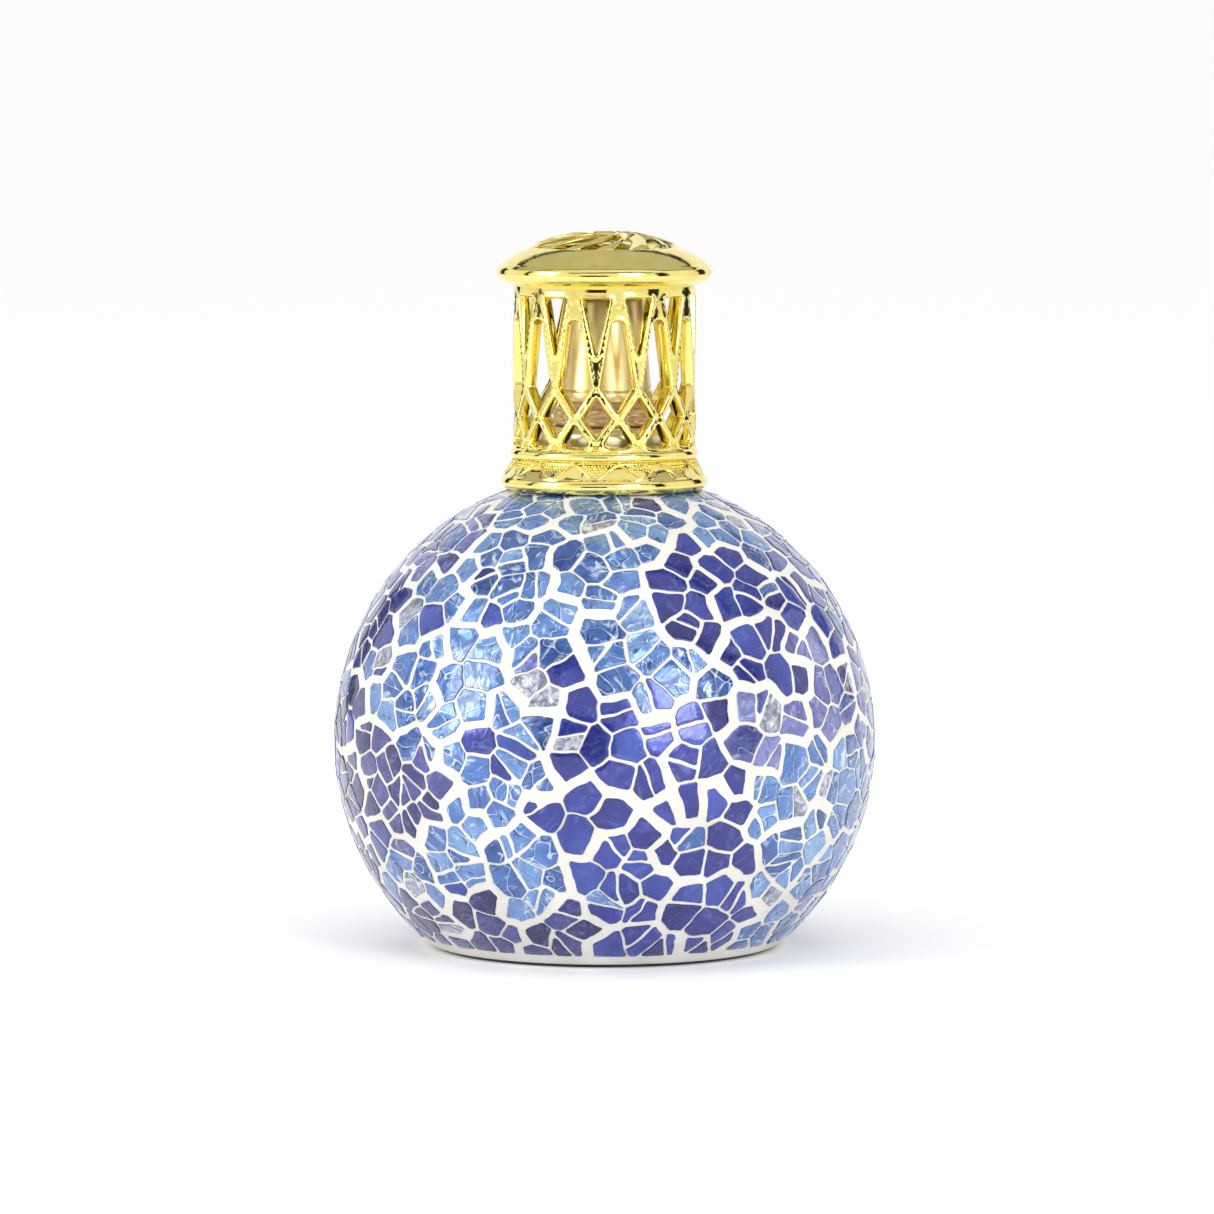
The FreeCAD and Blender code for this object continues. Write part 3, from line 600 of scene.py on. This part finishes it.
def globe_outline(arc_radius, low_height, high_radius, steps):
    """Points up the outside of the globe, from a height near the floor to a distance from the axis near the top."""
    first = math.asin((low_height - GLOBE_HEIGHT) / arc_radius)
    last = math.acos((high_radius - GLOBE_SHIFT) / arc_radius)
    slopes = [first + (last - first) * k / steps for k in range(steps + 1)]
    return [
        (GLOBE_SHIFT + arc_radius * math.cos(s), GLOBE_HEIGHT + arc_radius * math.sin(s)) for s in slopes
    ]


GROUT_FILL = 0.085  # how far the joints are filled over the layer that the fragments are bedded in


def trowelled(radius, height, angle):
    """The grout's surface, left slightly uneven by hand."""
    where = Vector((radius * math.cos(angle), radius * math.sin(angle), height))
    push = GROUT_FILL + 0.015 * noise.noise(where / 2.2) + 0.01 * noise.noise(where / 0.8)
    out = Vector((radius - GLOBE_SHIFT, height - GLOBE_HEIGHT)).normalized() * push
    return radius + out.x, max(height + out.y, PAD_THICKNESS)


grout_outside = globe_outline(GROUT_ARC, PAD_THICKNESS + 0.25, GROUT_MOUTH, 150)
grout_inside = list(reversed(globe_outline(GLASS_ARC, PAD_THICKNESS, GROUT_MOUTH, 24)))
grout_heel = [(grout_outside[0][0] - 0.35, PAD_THICKNESS)]
lathe(
    "grout_shell", grout_heel + grout_outside + grout_inside, GROUT, "lamp", "grout_layer", 480, trowelled
)

# ---------------------------------------------------------------------------- collar, burner and cap

lathe(
    "collar",
    rounded([(9.8, 76.0), (11.0, 76.0, 0.15)], 3)
    + arc((11.0, 85.0), (9.2, 86.8), 1.8, 14)
    + rounded([(9.2, 86.8), (7.6, 86.8, 0.25), (7.6, 85.6), (9.8, 85.6)], 4),
    COLLAR, "lamp", "neck_collar",
)
lathe(
    "burner_ring",
    [(4.4, 78.0), (7.1, 78.0), (7.1, 86.8)]
    + arc((7.7, 86.8), (8.6, 87.7), 0.9, 8)
    + [(8.6, 87.7), (8.6, 88.25), (8.52, 88.33), (8.52, 88.47), (8.6, 88.55)]
    + arc((8.6, 89.1), (7.7, 90.0), 0.9, 8)
    + [(7.7, 90.0), (5.75, 90.0), (5.6, 89.85), (5.6, 79.0), (4.4, 79.0)],
    BURNER, "burner", "burner_mount",
)
lathe(
    "stone",
    [(2.6, 79.0), (5.55, 79.0), (5.6, 79.05), (5.6, 92.4)]
    + arc((5.6, 92.4), (3.4, 94.6), 2.2, 10)[1:]
    + [(3.4, 94.6), (3.2, 94.6), (0.0, 94.6), (0.0, 88.0), (2.6, 88.0)],
    stone_material(), "burner", "catalytic_stone",
)
lathe(
    "cap",
    rounded([(6.7, 91.0), (7.9, 91.0, 0.2), (7.9, 92.6, 0.12), (7.4, 92.6), (7.4, 92.9)], 3)
    + [(7.62, 92.9), (7.7, 92.98)]
    + arc((6.4, 107.2), (4.6, 109.0), 1.8, 14)
    + [(4.6, 109.0), (4.3, 109.0), (0.0, 109.0), (0.0, 108.0), (4.4, 108.0), (5.4, 106.2), (6.7, 95.0)],
    CAP, "cap", "snuffer_cap",
)

for node_name, finish in (
    ("base_pad", felt_material()),
    ("glass_vessel", bottle_material()),
    ("collar_cement", cement_material()),
    ("cap_seal", seal_material()),
):
    frame["nodes"][node_name].data.materials.clear()
    frame["nodes"][node_name].data.materials.append(finish)


def wick():
    """The cotton wick, from its seat in the stone down to just over the bottle's floor."""
    line = bpy.data.curves.new("cotton_wick", "CURVE")
    line.dimensions = "3D"
    line.bevel_depth = 2.45 * MM
    line.bevel_resolution = 6
    line.resolution_u = 12
    line.use_fill_caps = True
    heights = (88.0, 76.0, 62.0, 48.0, 34.0, 20.0, 7.0)
    spline = line.splines.new("NURBS")
    spline.points.add(len(heights) - 1)
    for point, height in zip(spline.points, heights):
        point.co = (0.0, 0.0, height * MM, 1.0)
    spline.order_u = 3
    spline.use_endpoint_u = True
    line.materials.append(cotton_material())
    made = bpy.data.objects.new("cotton_wick", line)
    bpy.context.scene.collection.objects.link(made)
    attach(made, "burner")
    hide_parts("wick")
    return made


wick()

# -------------------------------------------------------------------------------------------- crown

WINDOWS_AROUND = 13
PITCH = FULL_TURN / WINDOWS_AROUND
CROWN_FRONT = math.radians(-95)  # bearing of the middle pointed window
WALL_OUTSIDE = 15.05
WALL_INSIDE = 13.4
WALL_LOW = 83.3
WALL_HIGH = 110.0
HALF_CELL = WALL_OUTSIDE * PITCH / 2

POINTED = [(0, 98.1, 0.3), (2.4, 108.6, 0.3), (-2.4, 108.6, 0.3)]
DIAMOND = [(0, 85.3, 0.3), (2.65, 88.75, 0.3), (0, 92.4, 0.3), (-2.65, 88.75, 0.3)]
ARCH = [(1.35 * math.cos(a), 103.55 + 1.35 * math.sin(a)) for a in (math.pi * k / 12 for k in range(13))]
ARCHED = [(0, 89.35, 0.35), (3.05, 93.7, 0.8), *ARCH, (-3.05, 93.7, 0.8)]
LOW = [(1.45, 83.75, 0.8), (2.35, 84.2, 0.6), (2.35, 84.9, 0.9), (0, 88.1, 0.5), (-2.35, 84.9, 0.9), (-2.35, 84.2, 0.6), (-1.45, 83.75, 0.8)]


def window(corners, spacing=0.34):
    """A window's outline on the unrolled wall, with a point on its axis at the top and at the bottom."""
    points = split_long(rounded(corners, 4), spacing)
    out = []
    for a, b in zip(points, points[1:] + points[:1]):
        out.append(a)
        if a[0] * b[0] < -1e-9:
            share = a[0] / (a[0] - b[0])
            out.append((0.0, a[1] + share * (b[1] - a[1])))
    return [(0.0 if abs(x) < 1e-7 else WALL_OUTSIDE * math.asin(x / WALL_OUTSIDE), z) for x, z in out]


def outward_normals(points):
    """Unit vectors out of a counter-clockwise outline."""
    normals = []
    for index in range(len(points)):
        before = Vector(points[index - 1])
        here = Vector(points[index])
        after = Vector(points[(index + 1) % len(points)])
        edge = (here - before).normalized() + (after - here).normalized()
        normals.append(Vector((edge.y, -edge.x)).normalized())
    return normals


def grown(points, amount):
    return [
        (x + n.x * amount if abs(x) > 1e-9 else 0.0, z + n.y * amount) for (x, z), n in zip(points, outward_normals(points))
    ]


WINDOWS = [(0.0, window(POINTED)), (0.0, window(DIAMOND))]
for side_shift in (-HALF_CELL, HALF_CELL):
    WINDOWS += [(side_shift, window(ARCHED)), (side_shift, window(LOW))]
EDGE_POINTS = [(x + shift, z) for shift, outline in WINDOWS for x, z in outline]


def edge_distance(x, z):
    return math.sqrt(min((x - a) ** 2 + (z - b) ** 2 for a, b in EDGE_POINTS))


def wall_radius(x, z, bearing):
    """The outside of the wall: a raised lip round each window and rough casting between them."""
    away = edge_distance(x, z)
    lip = 0.16 * math.exp(-(((away - 0.30) / 0.24) ** 2))
    skin = noise.noise(Vector((math.cos(bearing) * 15, math.sin(bearing) * 15, z)) / 1.3)
    return WALL_OUTSIDE - 0.02 + lip + 0.035 * skin * min(1.0, away / 0.5)


def inside(point, polygon):
    x, z = point
    hit = False
    for (ax, az), (bx, bz) in zip(polygon, polygon[1:] + polygon[:1]):
        if (az > z) != (bz > z) and x < ax + (z - az) * (bx - ax) / (bz - az):
            hit = not hit
    return hit


def wall_sheet(amount):
    """Triangles of one cell of the unrolled wall, with its windows grown by an amount."""
    holes = [[(x + shift, z) for x, z in grown(outline, amount)] for shift, outline in WINDOWS]
    points, edges = [], []
    for hole in holes:
        first = len(points)
        points += hole
        edges += [(first + k, first + (k + 1) % len(hole)) for k in range(len(hole))]
    rows = [WALL_LOW + (WALL_HIGH - WALL_LOW) * k / 76 for k in range(77)]
    columns = [-HALF_CELL + 2 * HALF_CELL * k / 20 for k in range(21)]
    for k, z in enumerate(rows):
        for j, x in enumerate(columns):
            if k % 2 and 0 < j < 20:
                x += HALF_CELL / 20
                if j == 19:
                    continue
            near = min((x - a) ** 2 + (z - b) ** 2 for hole in holes for a, b in hole) < 0.20 ** 2
            if near or any(inside((x, z), hole) for hole in holes):
                if not (k in (0, 76) and not near):
                    continue
            points.append((x, z))
    corners = [(-HALF_CELL, WALL_LOW), (HALF_CELL, WALL_LOW), (HALF_CELL, WALL_HIGH), (-HALF_CELL, WALL_HIGH)]
    first = len(points)
    points += corners
    edges += [(first + k, first + (k + 1) % 4) for k in range(4)]
    verts, _, faces, *_ = delaunay_2d_cdt([Vector(p) for p in points], edges, [], 0, 1e-5)
    kept = []
    for face in faces:
        x = sum(verts[i].x for i in face) / len(face)
        z = sum(verts[i].y for i in face) / len(face)
        if abs(x) < HALF_CELL and not any(inside((x, z), hole) for hole in holes):
            kept.append(tuple(face))
    return [(v.x, v.y) for v in verts], kept


# The section of a window's edge, from the face of the wall to its back: (out of the window, depth under the face).
WINDOW_EDGE = ((0.14, 0.0), (0.04, 0.07), (-0.04, 0.18), (-0.26, 0.90), (-0.29, 1.50), (-0.27, 1.65))


def lattice():
    """The pierced wall: one cell, drawn flat, then rolled round the axis and repeated."""
    points, faces = [], []
    front, front_faces = wall_sheet(WINDOW_EDGE[0][0])
    back, back_faces = wall_sheet(WINDOW_EDGE[-1][0])
    for cell in range(WINDOWS_AROUND):
        middle = CROWN_FRONT + cell * PITCH

        def add(x, z, radius):
            angle = middle + x / WALL_OUTSIDE
            points.append((radius * math.cos(angle), radius * math.sin(angle), z))
            return len(points) - 1

        def face_radius(x, z):
            return wall_radius(x, z, middle + x / WALL_OUTSIDE)

        places = {i: add(*front[i], face_radius(*front[i])) for face in front_faces for i in face}
        faces += [tuple(places[i] for i in face) for face in front_faces]
        places = {i: add(*back[i], WALL_INSIDE) for face in back_faces for i in face}
        faces += [tuple(places[i] for i in reversed(face)) for face in back_faces]
        for shift, outline in WINDOWS[:4]:
            levels = []
            top = [face_radius(x + shift, z) for x, z in grown(outline, WINDOW_EDGE[0][0])]
            for amount, depth in WINDOW_EDGE:
                ring = grown(outline, amount)
                share = depth / WINDOW_EDGE[-1][1]
                levels.append(
                    [add(x + shift, z, (1 - share) * (t - depth) + share * WALL_INSIDE) for (x, z), t in zip(ring, top)]
                )
            count = len(outline)
            for low, high in zip(levels, levels[1:]):
                faces += [(low[k], low[(k + 1) % count], high[(k + 1) % count], high[k]) for k in range(count)]
    made = piece("crown_lattice", points, faces, GOLD, "crown", "crown_cage")
    tidy_faces(made)
    return made


lattice()

FOOT_OUTLINE = (
    [(14.6, 77.1)]
    + arc((16.2, 76.35), (16.55, 78.8), 1.35, 14)
    + arc((16.55, 78.8), (14.9, 81.4), -7.5, 16)
    + arc((14.9, 81.4), (15.05, 83.3), 1.05, 14)
    + [(15.05, 83.3), (15.05, 83.5), (13.4, 83.5), (13.4, 81.4)]
)
WAVE_MIDDLE = 80.05
WAVE_SWING = 1.1


def flare_radius(height):
    """Distance from the axis of the hollow part of the foot at a height."""
    profile = [p for p in FOOT_OUTLINE if 78.7 < p[1] < 81.6 and p[0] > 14.8]
    profile.sort(key=lambda p: p[1])
    for (r0, z0), (r1, z1) in zip(profile, profile[1:]):
        if z0 <= height <= z1:
            return r0 + (r1 - r0) * (height - z0) / max(z1 - z0, 1e-9)
    return profile[0][0] if height < profile[0][1] else profile[-1][0]


def wave_height(angle):
    return WAVE_MIDDLE - WAVE_SWING * math.cos(WINDOWS_AROUND * (angle - CROWN_FRONT))


def foot_shift(radius, height, angle):
    """Raises a smooth lens under each crest of the wave."""
    if 78.75 < height < 81.3 and radius > 14.8:
        off = ((angle - CROWN_FRONT) / PITCH - 0.5 + 0.5) % 1.0 - 0.5
        off = (off * PITCH + 0.0) * WALL_OUTSIDE
        spread = 1 - (off / 2.3) ** 2 - ((height - 79.5) / 1.15) ** 2
        if spread > 0:
            radius += 0.32 * math.sqrt(spread)
    return radius, height


def crest_shift(radius, height, angle):
    return foot_shift(radius, height, angle + PITCH / 2)


lathe("crown_foot", FOOT_OUTLINE, GOLD, "crown", None, WINDOWS_AROUND * 28, crest_shift)


def tube(path, radius, sides=8):
    """A closed tube along a path of points."""
    points, faces = [], []
    count = len(path)
    for index, here in enumerate(path):
        ahead = (path[(index + 1) % count] - path[index - 1]).normalized()
        out = Vector((here.x, here.y, 0)).normalized()
        up = ahead.cross(out).normalized()
        out = up.cross(ahead)
        for side in range(sides):
            turn = FULL_TURN * side / sides
            points.append(tuple(here + (out * math.cos(turn) + up * math.sin(turn)) * radius))
    for index in range(count):
        for side in range(sides):
            a = index * sides + side
            b = index * sides + (side + 1) % sides
            c = ((index + 1) % count) * sides + (side + 1) % sides
            d = ((index + 1) % count) * sides + side
            faces.append((a, b, c, d))
    return points, faces


def on_wall(angle, height, radius):
    return Vector((radius * math.cos(angle), radius * math.sin(angle), height))


def foot_trim():
    """The raised wave on the foot, the grains in its troughs and the grains between the lattice's legs."""
    steps = WINDOWS_AROUND * 26
    path = []
    for k in range(steps):
        angle = CROWN_FRONT + FULL_TURN * k / steps
        height = wave_height(angle)
        path.append(on_wall(angle, height, flare_radius(height) + 0.12))
    points, faces = tube(path, 0.2)
    draw = random.Random(5)
    ball = bmesh.new()
    bmesh.ops.create_icosphere(ball, subdivisions=1, radius=1.0)
    ball_points = [v.co.copy() for v in ball.verts]
    ball_faces = [[v.index for v in f.verts] for f in ball.faces]
    ball.free()

    def grain(spot, radius):
        first = len(points)
        points.extend(tuple(spot + p * radius) for p in ball_points)
        faces.extend([first + i for i in f] for f in ball_faces)

    for cell in range(WINDOWS_AROUND):
        middle = CROWN_FRONT + cell * PITCH
        row = 0
        height = 79.3
        while height < 81.35:
            x = -3.6 + (0.25 if row % 2 else 0.0)
            while x < 3.6:
                angle = middle + x / flare_radius(height)
                if height > wave_height(angle) + 0.33:
                    spread = draw.uniform(-0.05, 0.05)
                    grain(on_wall(angle + spread / 15, height + spread, flare_radius(height) + 0.10), draw.uniform(0.20, 0.26))
                x += 0.50
            height += 0.43
            row += 1
        for level, half in ((83.72, 0.62), (84.05, 0.42), (84.38, 0.2)):
            x = -half
            while x <= half + 1e-6:
                grain(on_wall(middle + x / 15, level, 15.08), draw.uniform(0.15, 0.19))
                x += 0.4
    made = piece("crown_trim", points, faces, GOLD, "crown", None)
    tidy_faces(made)
    return made


foot_trim()

DOME_RIM_LOW = (17.0, 110.9)
DOME_RIM_HIGH = (17.3, 113.5)
lathe(
    "dome",
    [(13.4, 110.0), (15.05, 110.0), (16.7, 110.62)]
    + arc(DOME_RIM_LOW, DOME_RIM_HIGH, 1.55, 24)
    + [DOME_RIM_HIGH, (17.16, 113.62)]
    + arc((17.08, 113.66), (12.75, 116.3), 13.0, 24)
    + arc((12.75, 116.3), (12.5, 116.22), 0.16, 4)
    + [(12.5, 116.2), (12.5, 115.0), (12.6, 115.0)]
    + list(reversed(arc((16.0, 112.6), (12.6, 115.0), 13.0, 10)))
    + [(14.0, 111.4)],
    GOLD, "crown", "crown_dome", 256,
)

ROSETTE_CURVE = 32.0
DOME_MOUTH = 12.6
MOUTH_HEIGHT = 116.3
BLADE_ROOT = 2.2
BLADE_END = 12.15
SWEEP = math.radians(66)


def rosette_height(radius):
    return MOUTH_HEIGHT + math.sqrt(ROSETTE_CURVE ** 2 - radius ** 2) - math.sqrt(ROSETTE_CURVE ** 2 - DOME_MOUTH ** 2)


def rosette():
    """Thirteen twisted blades between a hub and a ring. Each one's leading edge stands over its neighbour."""
    points, faces = [], []
    along_steps, across_steps = 30, 10
    for blade in range(WINDOWS_AROUND):
        start = CROWN_FRONT + (blade + 0.5) * PITCH
        rows = []
        for k in range(along_steps + 1):
            radius = BLADE_ROOT + (BLADE_END - BLADE_ROOT) * k / along_steps
            sweep = -SWEEP * math.log(radius / 3.0) / math.log(11.3 / 3.0)
            grow = min(1.0, k / 8, (along_steps - k) / 3 + 0.35)
            half_width = 0.5 * radius * math.radians(20 + 0.8 * max(0.0, radius - 6))
            section = []
            for j in range(2 * across_steps):
                turn = FULL_TURN * j / (2 * across_steps)
                t, lift = math.cos(turn), math.sin(turn)
                x = t * half_width
                crease = 0.18 * math.exp(-(((t - 0.55) / 0.22) ** 2)) if lift > 0 else 0.0
                z = rosette_height(radius) - 0.5 + 0.34 * lift + 0.55 * t * grow + crease * grow
                angle = start + sweep + x / radius
                section.append(len(points))
                points.append((radius * math.cos(angle), radius * math.sin(angle), z))
            rows.append(section)
        count = 2 * across_steps
        for low, high in zip(rows, rows[1:]):
            faces += [(low[j], low[(j + 1) % count], high[(j + 1) % count], high[j]) for j in range(count)]
        faces += [tuple(reversed(rows[0])), tuple(rows[-1])]
    made = piece("rosette_blades", points, faces, GOLD, "crown", "crown_rosette")
    tidy_faces(made)
    hub_top = 119.07
    lathe(
        "rosette_hub",
        [(0.0, 117.2), (2.7, 117.2), (2.9, 117.6), (2.8, 118.35), (2.55, 118.62), (2.2, 118.7), (2.05, 118.85),
         (1.8, 119.0), (1.2, hub_top), (0.0, hub_top)],
        GOLD, "crown", None, 96,
    )
    ring_in, ring_out = 11.95, 12.52
    lathe(
        "rosette_ring",
        rounded(
            [(ring_in, 115.3, 0.2), (ring_out, 115.1, 0.1), (ring_out, 116.24, 0.1), (ring_in, 116.5, 0.2)], 4
        ),
        GOLD, "crown", None, 192,
    )
    return made


rosette()

# --------------------------------------------------------------------------------- floor, light, camera


def plain(name, colour, roughness):
    g = Graph(name)
    tint = g.mix(g.noise(400.0, 2.0), colour, tuple(0.995 * c for c in colour))
    return g.finish(Base_Color=tint, Roughness=roughness, Specular_IOR_Level=0.0)


def floor():
    mesh = bpy.data.meshes.new("floor")
    reach = 40.0
    mesh.from_pydata([(-reach, -reach, 0), (reach, -reach, 0), (reach, reach, 0), (-reach, reach, 0)], [], [(0, 1, 2, 3)])
    mesh.materials.append(plain("floor_white", (0.96, 0.96, 0.96), 0.30))
    made = bpy.data.objects.new("floor", mesh)
    bpy.context.scene.collection.objects.link(made)


def card(name, azimuth, elevation, distance, width, height, colour):
    """A dark card that only reflections see, so that polished metal has something to mirror."""
    mesh = bpy.data.meshes.new(name)
    w, h = width / 2, height / 2
    mesh.from_pydata([(-w, -h, 0), (w, -h, 0), (w, h, 0), (-w, h, 0)], [], [(0, 1, 2, 3)])
    g = Graph(name)
    mesh.materials.append(g.finish(Base_Color=colour, Roughness=1.0, Specular_IOR_Level=0.0))
    made = bpy.data.objects.new(name, mesh)
    bpy.context.scene.collection.objects.link(made)
    place(made, azimuth, elevation, distance)
    for ray in ("camera", "diffuse", "shadow", "transmission"):
        setattr(made, "visible_" + ray, False)


def place(made, azimuth, elevation, distance, target=(0.0, 0.0, 0.06)):
    """Stands an object round the lamp, facing it. Azimuth 0 is at the camera and 90 is at +X."""
    a, e = math.radians(azimuth), math.radians(elevation)
    out = Vector((math.sin(a) * math.cos(e), -math.cos(a) * math.cos(e), math.sin(e)))
    made.location = Vector(target) + out * distance
    made.rotation_mode = "QUATERNION"
    made.rotation_quaternion = out.to_track_quat("Z", "Y")


def softbox(name, azimuth, elevation, distance, width, height, power):
    light = bpy.data.lights.new(name, "AREA")
    light.shape = "RECTANGLE"
    light.size, light.size_y = width, height
    light.energy = power
    made = bpy.data.objects.new(name, light)
    bpy.context.scene.collection.objects.link(made)
    place(made, azimuth, elevation, distance)


def world():
    scene_world = bpy.data.worlds.new("studio")
    scene_world.use_nodes = True
    tree = scene_world.node_tree
    background = tree.nodes["Background"]
    coordinates = tree.nodes.new("ShaderNodeTexCoord")
    parts = tree.nodes.new("ShaderNodeSeparateXYZ")
    ramp = tree.nodes.new("ShaderNodeValToRGB")
    tree.links.new(coordinates.outputs["Generated"], parts.inputs["Vector"])
    tree.links.new(parts.outputs["Z"], ramp.inputs["Fac"])
    tree.links.new(ramp.outputs["Color"], background.inputs["Color"])
    stops = [(0.0, 1.0), (0.3, 1.0), (0.7, 0.94), (1.0, 0.94)]
    elements = ramp.color_ramp.elements
    while len(elements) < len(stops):
        elements.new(0.5)
    for element, (position, level) in zip(elements, stops):
        element.position = position
        element.color = (level, level, level, 1.0)
    background.inputs["Strength"].default_value = 1.06
    bpy.context.scene.world = scene_world


def camera():
    lens = bpy.data.cameras.new("camera")
    lens.lens = 223.0
    lens.sensor_width = 36.0
    lens.clip_start, lens.clip_end = 0.01, 200.0
    made = bpy.data.objects.new("camera", lens)
    bpy.context.scene.collection.objects.link(made)
    place(made, 0.3, 5.3, 1.25, (0.0004, 0.0, 0.0565))
    bpy.context.scene.camera = made


floor()
world()
softbox("key", 29, 20, 0.9, 0.36, 0.46, 3.0)
softbox("side", -65, 21, 0.9, 0.34, 0.50, 3.0)
BLACK = (0.02, 0.02, 0.02)
GREY = (0.50, 0.50, 0.50)
card("card_camera", -11, 4, 0.8, 0.40, 0.24, BLACK)
card("card_brow", 8, 45, 0.85, 1.40, 0.17, BLACK)
card("card_right", 65, 10, 0.8, 0.20, 0.70, BLACK)
card("card_left", -91, 10, 0.8, 0.09, 0.70, BLACK)
card("card_back_left", -140, 8, 0.9, 0.20, 0.50, BLACK)
card("card_back_right", 128, 8, 0.9, 0.26, 0.50, BLACK)
card("card_ceiling", 180, 66, 1.20, 2.6, 0.97, GREY)
card("card_frame", 180, 66, 1.26, 3.1, 1.36, BLACK)
camera()
bpy.context.scene.view_settings.view_transform = "Standard"
